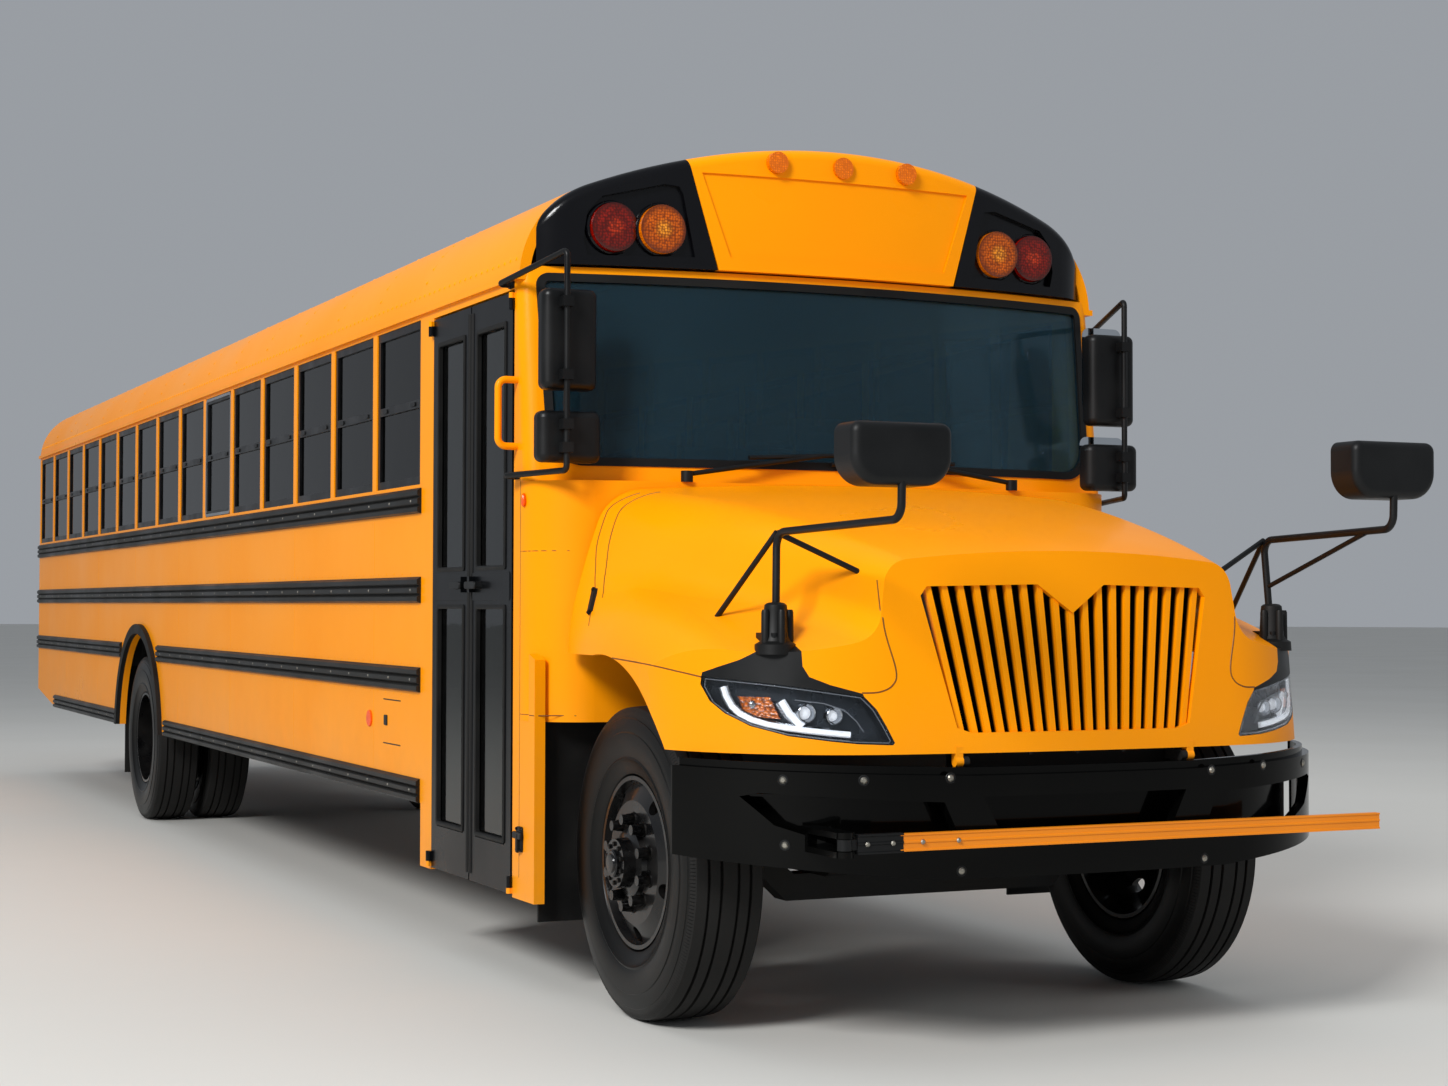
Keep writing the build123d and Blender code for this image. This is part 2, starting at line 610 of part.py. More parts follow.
with BuildPart() as lamp_pods:
    add(cap_body(0))
    add(cap_body(wall), mode=Mode.SUBTRACT)
    prism_y(((-panel_low, header_z - 20), (panel_low, header_z - 20), (panel_high, roof_z + 20),
             (-panel_high, roof_z + 20)), (cap_front - 200, cap_rear + 50), Mode.SUBTRACT)
    for side in (-1, 1):
        with BuildPart(mode=Mode.PRIVATE) as pocket:
            prism_y([(side * x, z) for x, z in pod_pocket], (cap_front - 200, cap_front + 300))
            add(cap_body(pod_sunk), mode=Mode.SUBTRACT)
        add(pocket.part, mode=Mode.SUBTRACT)
    for x in pod_lamps:
        for side in (-1, 1):
            rod((side * x, cap_front - 100, lamp_z), (side * x, lamp_seat(x), lamp_z), lamp_r + 0.3,
                Mode.SUBTRACT)
save(lamp_pods, "lamp_pods")

# Rear wall: the tail panel with the emergency doorway and a window each side.
rear_door_half = 400.0
rear_door_z = (1060.0, 2530.0)
rear_glass_x = (500.0, 1080.0)
rear_window_z1 = 2492.0
rear_lamp_x = (640.0, 840.0)
rear_lamp_z = 2745.0
door_skin_gap = 7.0
door_skin = 32.0
door_lap = 15.0
rear_hinge = (-rear_door_half - door_lap - 11, body_rear + door_skin_gap + door_skin + 4)
with BuildPart() as rear_wall:
    add(roof_prism(0, skirt_rear_z, (body_rear - wall, body_rear)))
    tail = rear_wall.faces().sort_by(Axis.Y)[-1]
    fillet([e for e in tail.edges() if e.center().Z > skirt_rear_z + 1], radius=34)
    block((-rear_door_half, rear_door_half), (body_rear - wall - 1, body_rear + 1), rear_door_z,
          Mode.SUBTRACT)
    for side in (-1, 1):
        x_span = sorted((side * rear_glass_x[0], side * rear_glass_x[1]))
        block(x_span, (body_rear - wall - 1, body_rear + 1), (window_z0, rear_window_z1), Mode.SUBTRACT)
        rail_slot = sorted((side * (rail_x - rail_flange), side * rail_x))
        block(rail_slot, (body_rear - wall - 1, body_rear + 1), (rail_top - rail_h, rail_top), Mode.SUBTRACT)
    for z in (rear_door_z[0] + 150, rear_door_z[1] - 150):
        block((rear_hinge[0] - 9, rear_hinge[0] + 5), (body_rear - 1, rear_hinge[1]), (z - 60, z - 30))
        with Locations((*rear_hinge, z - 45)):
            Cylinder(9, 30)
save(rear_wall, "rear_wall")

# Rub rails: black ribbed steel strips along both sides.
rail_ribs = 3
rail_base = 6.0
rib_out = 12.0
# columns: bottom, top, front and rear station
rub_rail_rows = (
    (1744, 1847, 8, 10364),
    (1380, 1486, 8, 10364),
    (1018, 1119, 8, 5432),
    (1018, 1119, 6652, 10364),
    (573, 669, 8, 5192),
    (573, 669, 6816, 9480),
)
with BuildPart() as rub_rails:
    for z0, z1, y0, y1 in rub_rail_rows:
        pitch = (z1 - z0) / rail_ribs
        for side in (-1, 1):
            with BuildSketch(Plane(origin=(0, body_front + y1, 0), x_dir=(1, 0, 0),
                                   z_dir=(0, -1, 0))) as rail:
                with BuildLine():
                    edge = [(body_half, z0), (body_half + rail_base, z0)]
                    for n in range(rail_ribs):
                        foot = z0 + n * pitch
                        edge += [(body_half + rail_base + rib_out, foot + pitch * 0.2),
                                 (body_half + rail_base + rib_out, foot + pitch * 0.7),
                                 (body_half + rail_base, foot + pitch * 0.95)]
                    edge += [(body_half + rail_base, z1), (body_half, z1)]
                    Polyline(*[(side * x, z) for x, z in edge], close=True)
                make_face()
            extrude(rail.sketch, amount=y1 - y0)
save(rub_rails, "rub_rails")

# Arch trims: rubber mouldings round the rear wheel openings.
trim_w = 60.0
trim_out = 28.0
with BuildPart() as arch_trims:
    for side in (-1, 1):
        plane = Plane(origin=(side * body_half, ra, arch_z), x_dir=(0, 1, 0), z_dir=(side, 0, 0))
        with BuildSketch(plane) as ring:
            Circle(arch_r + trim_w)
            Circle(arch_r, mode=Mode.SUBTRACT)
        extrude(ring.sketch, amount=trim_out)
    block((-body_half - 60, body_half + 60), (ra - 900, ra + 900), (-400, skirt_z), Mode.SUBTRACT)
save(arch_trims, "arch_trims")

# Window sashes: black frames with a bar at half height in every opening.
sash = 34.0
sash_depth = 28.0
sash_set = 6.0
sash_bar_z = 2195.0
rear_glass_mid = ((rear_glass_x[0] + rear_glass_x[1]) / 2, (window_z0 + rear_window_z1) / 2)
rear_glass_size = (rear_glass_x[1] - rear_glass_x[0], rear_window_z1 - window_z0)
driver_mid = sum(driver_window) / 2
driver_l = driver_window[1] - driver_window[0]
pane_z = ((window_z0 + sash, sash_bar_z - sash / 2), (sash_bar_z + sash / 2, window_z1 - sash))


def side_openings(side):
    """The openings on one side as (middle station, length), the driver's window on the left."""
    return [(y, window_l) for y in window_y] + ([(driver_mid, driver_l)] if side > 0 else [])


def panes(side):
    """Every pane of one side as rectangles on the sketch in hand."""
    for y, length in side_openings(side):
        for z0, z1 in pane_z:
            with Locations((y, (z0 + z1) / 2)):
                Rectangle(length - 2 * sash, z1 - z0)


with BuildPart() as window_sashes:
    for side in (-1, 1):
        with BuildSketch() as clear:
            panes(side)
        with BuildSketch() as frames:
            for y, length in side_openings(side):
                with Locations((y, window_mid)):
                    Rectangle(length, window_h)
            add(clear.sketch, mode=Mode.SUBTRACT)
        x_out = side * (body_half - sash_set)
        plane = Plane.YZ.offset(min(x_out, x_out - side * sash_depth))
        extrude(plane * frames.sketch, amount=sash_depth)
        rear_plane = Plane(origin=(side * rear_glass_mid[0], body_rear, rear_glass_mid[1]), x_dir=(1, 0, 0),
                           z_dir=(0, -1, 0))
        with BuildSketch(rear_plane) as rear_frame:
            Rectangle(*rear_glass_size)
            Rectangle(rear_glass_size[0] - 2 * sash, rear_glass_size[1] - 2 * sash, mode=Mode.SUBTRACT)
        extrude(rear_frame.sketch, amount=sash_depth)
save(window_sashes, "window_sashes")

# Window glass: two panes in each sash, one in each rear frame.
glass = 6.0
with BuildPart() as window_glass:
    for side in (-1, 1):
        with BuildSketch() as clear:
            panes(side)
        x_mid = side * (body_half - sash_set - sash_depth / 2)
        extrude(Plane.YZ.offset(x_mid - glass / 2) * clear.sketch, amount=glass)
        rear_plane = Plane(origin=(side * rear_glass_mid[0], body_rear - sash_depth / 2, rear_glass_mid[1]),
                           x_dir=(1, 0, 0), z_dir=(0, -1, 0))
        with BuildSketch(rear_plane) as rear_pane:
            Rectangle(rear_glass_size[0] - 2 * sash, rear_glass_size[1] - 2 * sash)
        extrude(rear_pane.sketch, amount=glass)
save(window_glass, "window_glass")

# Seat benches: rows of high-backed benches each side of the aisle.
seat_rows = 14
seat_pitch = 700.0
seat_first = body_front + 260.0
aisle_half = 180.0
seat_z = floor_top + 410.0
back_z = floor_top + 1080.0
seat_y = [seat_first + n * seat_pitch for n in range(seat_rows)]
leg_z = (floor_top + seat_z - 110.3) / 2
cushion_side = ((0, seat_z - 110), (380, seat_z - 110), (380, seat_z - 0), (20, seat_z), (0, seat_z - 30))
back_side = ((380.3, seat_z - 110), (430, seat_z - 110), (505, back_z - 40), (485, back_z), (445, back_z),
             (380.3, seat_z + 40))
with BuildPart() as seat_benches:
    for side in (-1, 1):
        with BuildSketch() as cushions:
            for y in seat_y:
                for outline in (cushion_side, back_side):
                    with BuildLine():
                        Polyline(*[(y + dy, z) for dy, z in outline], close=True)
                    make_face()
        x_span = sorted((side * aisle_half, side * (inner_half - 12)))
        extrude(Plane.YZ.offset(x_span[0]) * cushions.sketch, amount=x_span[1] - x_span[0])
        # columns: leg's inner x, rows that carry it
        for leg_x, rows in ((aisle_half + 60, seat_y),
                            (inner_half - 120, [y for y in seat_y if abs(y + 240 - ra) > 900])):
            with BuildSketch() as legs:
                with Locations([(y + 210, leg_z) for y in rows]):
                    Rectangle(300, seat_z - 110.3 - floor_top)
            extrude(Plane.YZ.offset(min(side * leg_x, side * (leg_x + 45))) * legs.sketch, amount=45)
save(seat_benches, "seat_benches")

# Driver's seat on its pedestal, behind the wheel on the left.
driver_x = 560.0
driver_y = fa + 1300.0
with BuildPart() as driver_seat:
    seat_side = ((driver_y, floor_top + 330), (driver_y + 480, floor_top + 330),
                 (driver_y + 620, floor_top + 1130),
                 (driver_y + 520, floor_top + 1150), (driver_y + 400, floor_top + 450),
                 (driver_y, floor_top + 450))
    prism_x(seat_side, (driver_x - 250, driver_x + 250))
    block((driver_x - 150, driver_x + 150), (driver_y + 100, driver_y + 400), (floor_top, floor_top + 331))
save(driver_seat, "driver_seat")

# Dashboard with the steering wheel on its column.
with BuildPart() as dashboard:
    dash_side = ((cowl_edge + 90, floor_top), (cowl_edge + 250, floor_top),
                 (cowl_edge + 320, floor_top + 560),
                 (cowl_edge + 330, floor_top + 690), (cowl_edge + 90, floor_top + 720))
    prism_x(dash_side, (-560, 1060))
    column = (driver_x, cowl_edge + 300, floor_top + 560)
    hub = (driver_x, cowl_edge + 560, floor_top + 760)
    rod(column, hub, 34)
    axis = (Vector(*hub) - Vector(*column)).normalized()
    wheel = Plane(origin=hub, z_dir=axis)
    with Locations(wheel.location):
        Torus(215, 15)
        for turn in (90, 210, 330):
            with Locations(Rotation(0, 0, turn)):
                with Locations((108, 0, 0)):
                    Box(216, 34, 12)
save(dashboard, "dashboard")

# Wipers: two arms and blades lying against the foot of the screen.
with BuildPart() as wipers:
    for side in (-1, 1):
        pivot = (side * 679, fa + 462, shelf_z)
        rod(pivot, (pivot[0], pivot[1], shelf_z + 40), 22)
        tip = (side * 130, fa + 470, shelf_z + 110)
        rod((pivot[0], pivot[1], shelf_z + 28), tip, 9)
        rod((side * 430, fa + 470, shelf_z + 95), (side * -90, fa + 474, shelf_z + 100 - side * 20), 8)
save(wipers, "wipers")

# Side mirrors: a flat head over a convex head, hung behind a tube that two arms hold off the body.
mirror_x = 1132.0
mirror_y = fa + 480.0
mirror_tube = (1160.0, fa + 408.0)
mirror_foot_x = body_half + 54.0
mirror_drop = 48.0
head_depth = 90.0
with BuildPart() as side_mirrors:
    # columns: side, height of the set
    for side, lift in ((-1, 0.0), (1, -mirror_drop)):
        tube_x = side * mirror_tube[0]
        foot_x = side * mirror_foot_x
        high_foot = (foot_x, fa + 812, 2534 + lift)
        low_foot = (foot_x, fa + 745, 1836 + lift)
        bent_tube(((side * (body_half + 8.3), *high_foot[1:]), high_foot,
                   (tube_x, mirror_tube[1], 2612 + lift),
                   (tube_x, mirror_tube[1], 1842 + lift), low_foot,
                   (side * (body_half + 8.3), *low_foot[1:])), 18, 11)
        for foot in (high_foot, low_foot):
            plate = sorted((side * (body_half + 0.3), side * (body_half + 9)))
            block(plate, (foot[1] - 22, foot[1] + 22), (foot[2] - 12, foot[2] + 12))
        # columns: bottom, top, width
        for z0, z1, width in ((2126, 2482, 205), (1872, 2053, 235)):
            with BuildPart(mode=Mode.PRIVATE) as head:
                with BuildSketch(Plane.XY.offset(z0 + lift)):
                    with Locations((side * mirror_x, mirror_y)):
                        RectangleRounded(width, head_depth, 34)
                extrude(amount=z1 - z0)
                fillet(head.faces().sort_by(Axis.Z)[-1].edges() + head.faces().sort_by(Axis.Z)[0].edges(),
                       radius=26)
            add(head.part)
            for z in (z0 + 50 + lift, z1 - 50 + lift):
                block((tube_x - 20, tube_x + 20), (mirror_tube[1] - 16, mirror_y - head_depth / 2 + 2),
                      (z - 18, z + 18))
save(side_mirrors, "side_mirrors")

# Amber lamps: warning lamps, roof and side markers.
with BuildPart() as amber_lamps:
    for side in (-1, 1):
        seat = lamp_seat(pod_lamps[0])
        rod((side * pod_lamps[0], seat, lamp_z), (side * pod_lamps[0], seat - lamp_deep, lamp_z), lamp_r)
        rod((side * rear_lamp_x[0], body_rear, rear_lamp_z),
            (side * rear_lamp_x[0], body_rear + 26, rear_lamp_z), lamp_r)
    for x in marker_x:
        rod((x, cap_front + 28, marker_z), (x, cap_front - 14, marker_z), marker_r)
save(amber_lamps, "amber_lamps")

# Red lamps: the outer warning lamps in front, and the tail and stop lamps.
tail_lamp_x = 980.0
with BuildPart() as red_lamps:
    for side in (-1, 1):
        seat = lamp_seat(pod_lamps[1])
        rod((side * pod_lamps[1], seat, lamp_z), (side * pod_lamps[1], seat - lamp_deep, lamp_z), lamp_r)
        rod((side * rear_lamp_x[1], body_rear, rear_lamp_z),
            (side * rear_lamp_x[1], body_rear + 26, rear_lamp_z), lamp_r)
        rod((side * tail_lamp_x, body_rear, 1560), (side * tail_lamp_x, body_rear + 26, 1560), lamp_r)
save(red_lamps, "red_lamps")

# Grab handle: a yellow rail on the post in front of the doors.
grab_y = fa + 755.0
with BuildPart() as grab_handle:
    bent_tube(((-body_half, grab_y, 1944), (-body_half - 73, grab_y, 1944), (-body_half - 73, grab_y, 2184),
               (-body_half, grab_y, 2184)), 30, 13)
save(grab_handle, "grab_handle")

# Mud flaps: rubber sheets behind the front and rear wheels.
with BuildPart() as mud_flaps:
    for side in (-1, 1):
        front_x = sorted((side * 760, side * inner_half))
        block(front_x, (cowl_edge + 62, cowl_edge + 74), (250, rail_top))
        rear_x = sorted((side * 640, side * inner_half))
        block(rear_x, (ra + 700, ra + 712), (250, rail_top))
save(mud_flaps, "mud_flaps")

# Hood: a tilting one-piece hood and fenders, lofted over five cross-sections.
hood_wall = 24.0
hood_rear = fa + 480.0
hood_base = 925.0
nose_y = fa - 1035.0
nose_lean = 0.105
nose_bow_r = 4800.0
nose_x = 620.0
lamp_corner = (1115.0, fa - 656.0)
flank = (1182.0, fa - 330.0)
arch_front = (fa + 40.0, 570.0)
arch_open_r = 640.0
fender_z = 1205.0
valley_r = 70.0
rear_run = 60.0
hood_gap = 12.0
nose_foot_z = 984.0
hood_tall = 1200.0
# columns: station, crown height, shoulder x and z, its rounding, crease x and z, lip x and z, its rounding
hood_sections = (
    (hood_rear, 1818, 975, 1778, 130, 1052, 1560, 1125, 1300, 110),
    (fa + 100, 1772, 880, 1732, 130, 985, 1480, 1176, 1330, 140),
    (fa - 350, 1695, 775, 1652, 120, 880, 1410, 1183, 1312, 160),
    (fa - 750, 1608, 680, 1560, 90, 740, 1335, 1183, 1180, 150),
    (fa - 1120, 1500, 590, 1450, 60, 622, 1230, 1183, 1020, 90),
)


def rounded(before, corner, after, size):
    """Where an arc starts, passes and ends as it rounds a corner between two directions."""
    start = corner + (before - corner).normalized() * size
    end = corner + (after - corner).normalized() * size
    return start, (start + end) / 4 + corner / 2, end


def hood_solid(inset, base_z):
    """The hood's outer form, solid, drawn in by an inset on every side but the rear and the base."""
    sections = []
    for y, crown, shoulder_x, shoulder_z, shoulder_r, crease_x, crease_z, lip_x, lip_z, lip_r in hood_sections:
        top = crown - inset
        shoulder = Vector(shoulder_x - inset, shoulder_z - inset)
        crease = Vector(crease_x - inset, crease_z - inset)
        lip = Vector(lip_x - inset, lip_z - inset)
        inward = Vector(0, top + (top - shoulder.Y))
        roll = rounded(inward, shoulder, crease, shoulder_r)
        valley = rounded(shoulder, crease, lip, valley_r)
        edge = rounded(crease, lip, Vector(lip.X, base_z), lip_r)
        station = y + rear_run if y == hood_rear and inset else y
        with BuildSketch(Plane(origin=(0, station, 0), x_dir=(1, 0, 0), z_dir=(0, -1, 0))) as section:
            with BuildLine():
                ThreePointArc((-roll[0].X, roll[0].Y), (0, top), roll[0])
                for side in (-1, 1):
                    ThreePointArc(*[(side * point.X, point.Y) for point in roll])
                    Line((side * roll[2].X, roll[2].Y), (side * valley[0].X, valley[0].Y))
                    ThreePointArc(*[(side * point.X, point.Y) for point in valley])
                    Line((side * valley[2].X, valley[2].Y), (side * edge[0].X, edge[0].Y))
                    ThreePointArc(*[(side * point.X, point.Y) for point in edge])
                    Line((side * edge[2].X, edge[2].Y), (side * lip.X, base_z))
                Line((-lip.X, base_z), (lip.X, base_z))
            make_face()
        sections.append(section.sketch.face())
    body = loft(sections, mode=Mode.PRIVATE)
    base_y = nose_y - (nose_foot_z - base_z) * nose_lean + inset
    bend_y = base_y + nose_x**2 / (2 * nose_bow_r)
    corner = (lamp_corner[0] - inset, lamp_corner[1] + inset)
    side_end = (flank[0] - inset + 0.5, flank[1])
    with BuildSketch(Plane.XY.offset(base_z)) as plan:
        with BuildLine():
            ThreePointArc((-nose_x, bend_y), (0, base_y), (nose_x, bend_y))
            for side in (-1, 1):
                turn = TangentArc((side * nose_x, bend_y), (side * corner[0], corner[1]),
                                  tangent=(side, nose_x / nose_bow_r))
                TangentArc(turn @ 1, (side * side_end[0], side_end[1]), tangent=turn % 1)
                Line((side * side_end[0], side_end[1]), (side * side_end[0], hood_rear + 600))
            Line((-side_end[0], hood_rear + 600), (side_end[0], hood_rear + 600))
        make_face()
    front = extrude(plan.sketch, amount=hood_tall, dir=(0, nose_lean, 1), mode=Mode.PRIVATE)
    return body & front


grille_out = ((-380, 986), (380, 986), (428, 1002), (527, 1404), (505, 1433), (123, 1441), (0, 1352),
              (-123, 1441), (-505, 1433), (-527, 1404), (-428, 1002))
lamp_top = ((721, 1099), (853, 1120), (958, 1136), (1113, 1156))
lamp_out = ((1115, 1131), (1099, 1081), (1070, 1044), (1017, 1008), (930, 980), (822, 965), (745, 957),
            (640, 953),
            (634, 960), (658, 1010), (686, 1061), *lamp_top)
brow_out = ((1111, 1168), (1080, 1186), (1035, 1208), (996, 1234), (962, 1262), (888, 1262), (886, 1190),
            (870, 1158),
            (815, 1134), (725, 1108), *lamp_top)
hood_form = hood_solid(0, hood_base)
hood_inner = hood_solid(hood_wall, hood_base - 200)
lamp_back = hood_solid(70, hood_base - 200)
with BuildPart() as hood_shell:
    add(hood_form)
    add(hood_inner, mode=Mode.SUBTRACT)
    with Locations(Plane(origin=(0, *arch_front), z_dir=(1, 0, 0)).location):
        Cylinder(arch_open_r, 3000, mode=Mode.SUBTRACT)
    block((-1500, 1500), (arch_front[0], hood_rear + 100), (800, fender_z), Mode.SUBTRACT)
    add(bowed_slab(cowl_front, shelf_bow_r, (800, 2000), 0, corner_r + hood_gap, -hood_gap),
        mode=Mode.SUBTRACT)
    prism_y(grille_out, (fa - 1200, fa - 800), Mode.SUBTRACT)
    for side in (-1, 1):
        prism_y([(side * x, z) for x, z in lamp_out], (fa - 1200, fa - 400), Mode.SUBTRACT)
        prism_y([(side * x, z) for x, z in brow_out], (fa - 1200, fa - 400), Mode.SUBTRACT)
        # hinge arm down to the frame's ear
        arm = sorted((side * (rail_x - 17.6), side * (rail_x + 8)))
        block(arm, (hood_hinge_y - 10, hood_hinge_y + 16), (hood_hinge_z, hood_base + 20))
        rod((arm[0], hood_hinge_y, hood_hinge_z), (arm[1], hood_hinge_y, hood_hinge_z), 16)
save(hood_shell, "hood_shell")

# Grille: upright slats closing towards the foot, each let into the hood's opening.
slats = 19
slat_w = 20.0
slat_set = 10.0
slat_deep = 60.0
with BuildPart() as grille:
    with BuildSketch(Plane(origin=(0, fa - 850, 0), x_dir=(1, 0, 0), z_dir=(0, -1, 0))) as bars:
        for n in range(slats):
            share = (n - (slats - 1) / 2) / ((slats - 1) / 2)
            foot = share * 404
            head = share * 502
            with BuildLine():
                Polyline((foot - slat_w / 2, 960), (foot + slat_w / 2, 960), (head + slat_w / 2, 1460),
                         (head - slat_w / 2, 1460), close=True)
            make_face()
    extrude(bars.sketch, amount=300)
    prism_y(grille_out, (fa - 1200, fa - 800), Mode.INTERSECT)
    add(hood_solid(slat_set, hood_base - 200), mode=Mode.INTERSECT)
    add(hood_solid(slat_deep, hood_base - 200), mode=Mode.SUBTRACT)
save(grille, "grille")

# Headlamps: clear wrap-round units let into the hood.
with BuildPart() as headlamps:
    for side in (-1, 1):
        prism_y([(side * x, z) for x, z in lamp_out], (fa - 1200, fa - 400))
    add(hood_form, mode=Mode.INTERSECT)
    add(lamp_back, mode=Mode.SUBTRACT)
save(headlamps, "headlamps")

# Lamp brows: black panels over the headlamps, under the mirror posts.
with BuildPart() as lamp_brows:
    for side in (-1, 1):
        prism_y([(side * x, z) for x, z in brow_out], (fa - 1200, fa - 400))
    add(hood_form, mode=Mode.INTERSECT)
    add(hood_inner, mode=Mode.SUBTRACT)
save(lamp_brows, "lamp_brows")

# Crossview mirrors: domed heads on braced posts that ride on the hood.
post_x = 932.0
post_y = fa - 785.0
post_z = (1175.0, 1290.0)
post_top = (918.0, fa - 762.0, 1597.0)
arm_bend = (872.0, fa - 1462.0, 1616.0)
head_z = 1798.0
mirror_size = (320.0, 120.0, 178.0)
fender_foot = (988.0, fa - 475.0, 1335.0)
nose_foot = (662.0, fa - 829.0, 1474.0)
with BuildPart() as crossview_mirrors:
    for side in (-1, 1):
        foot = (side * post_x, post_y, post_z[1] - 30)
        top = (side * post_top[0], *post_top[1:])
        bend = (side * arm_bend[0], *arm_bend[1:])
        bent_tube((foot, top, bend, (bend[0], bend[1] - 4, head_z - 60)), 46, 12)
        rod(top, (side * fender_foot[0], *fender_foot[1:]), 9)
        rod(top, (side * nose_foot[0], *nose_foot[1:]), 9)
        with BuildPart(mode=Mode.PRIVATE) as shoe:
            block(sorted((side * (post_x - 29), side * (post_x + 29))), (post_y - 38, post_y + 90), post_z)
            fillet(shoe.edges().filter_by(Axis.Z), radius=14)
        add(shoe.part)
        with BuildPart(mode=Mode.PRIVATE) as head:
            with Locations((bend[0], bend[1] + mirror_size[1] / 2 - 20, head_z)):
                Box(*mirror_size)
            fillet(head.edges().filter_by(Axis.Y).group_by(Axis.Z)[0], radius=84)
            fillet(head.edges().filter_by(Axis.Y).group_by(Axis.Z)[-1], radius=30)
            fillet(head.faces().sort_by(Axis.Y)[0].edges(), radius=26)
        add(head.part)
    # brace under the left arm, which stands clear of the post
    rod((post_top[0] + 8, post_top[1] - 12, 1440), (arm_bend[0] + 8, arm_bend[1] + 140, 1606), 8)
    add(hood_form, mode=Mode.SUBTRACT)
save(crossview_mirrors, "crossview_mirrors")

# Steering knuckles: a yoke over each axle eye, the stub axle and the track-rod arm.
for side, name in sides:
    with BuildPart() as knuckle:
        for z in (1, -1):
            z_span = sorted((axle_z + z * (eye_h / 2 + 0.3), axle_z + z * (eye_h / 2 + 35)))
            with Locations((side * kingpin_x, fa, sum(z_span) / 2)):
                Cylinder(eye_r, 34.7)
            block(sorted((side * kingpin_x, side * (kingpin_x + 80))), (fa - 42, fa + 42), z_span)
        x_web = sorted((side * (kingpin_x + 52), side * (kingpin_x + 80)))
        block(x_web, (fa - 42, fa + 42), (axle_z - eye_h / 2 - 35, axle_z + eye_h / 2 + 35))
        rod((side * (kingpin_x + 60), fa, axle_z), (side * (front_track_half + 110), fa, axle_z), 38)
        low = axle_z - eye_h / 2 - 20
        arm = ((side * kingpin_x, fa), (side * steer_arm_x, fa + steer_arm_y))
        rod((*arm[0], low), (*arm[1], low), 14)
        with Locations((*arm[1], low)):
            Cylinder(24, 30)
    save(knuckle, f"knuckle_{name}")

# Track rod: joins the two knuckles behind the axle, hung under their arms' eyes.
rod_z = axle_z - eye_h / 2 - 20 - 15 - 0.3 - 36
with BuildPart() as tie_rod:
    rod((-steer_arm_x, fa + steer_arm_y, rod_z + 18), (steer_arm_x, fa + steer_arm_y, rod_z + 18), 17)
    for side in (-1, 1):
        with Locations((side * steer_arm_x, fa + steer_arm_y, rod_z + 18)):
            Cylinder(24, 36)
save(tie_rod, "tie_rod")


def tyre_outline(centre):
    """Half of a tyre's section as (x, radius) points, crown to bead."""
    half = tyre_w / 2
    outer = tyre_d / 2
    return ((centre - half + 34, outer), (centre + half - 34, outer), (centre + half - 8, outer - 22),
            (centre + half, outer - 110), (centre + half - 28, rim_r), (centre - half + 28, rim_r),
            (centre - half, outer - 110), (centre - half + 8, outer - 22))


def wheel_plane(y):
    """The upright plane through an axle, local x across the bus and local y up from the axle."""
    return Plane(origin=(0, y, axle_z), x_dir=(1, 0, 0), z_dir=(0, -1, 0))


def spun(outline, y, mode=Mode.ADD):
    """A closed outline of (x, radius) spun round an axle."""
    with BuildSketch(wheel_plane(y)) as section:
        with BuildLine():
            Polyline(*outline, close=True)
        make_face()
    revolve(section.sketch, axis=Axis((0, y, axle_z), (1, 0, 0)), mode=mode)


# Wheels: tyres and pierced steel discs, single in front and paired at the rear.
rim_wall = 14.0
studs = 10
stud_circle = 143.0
wheel_turn = {"right": 0, "left": 180 / studs}
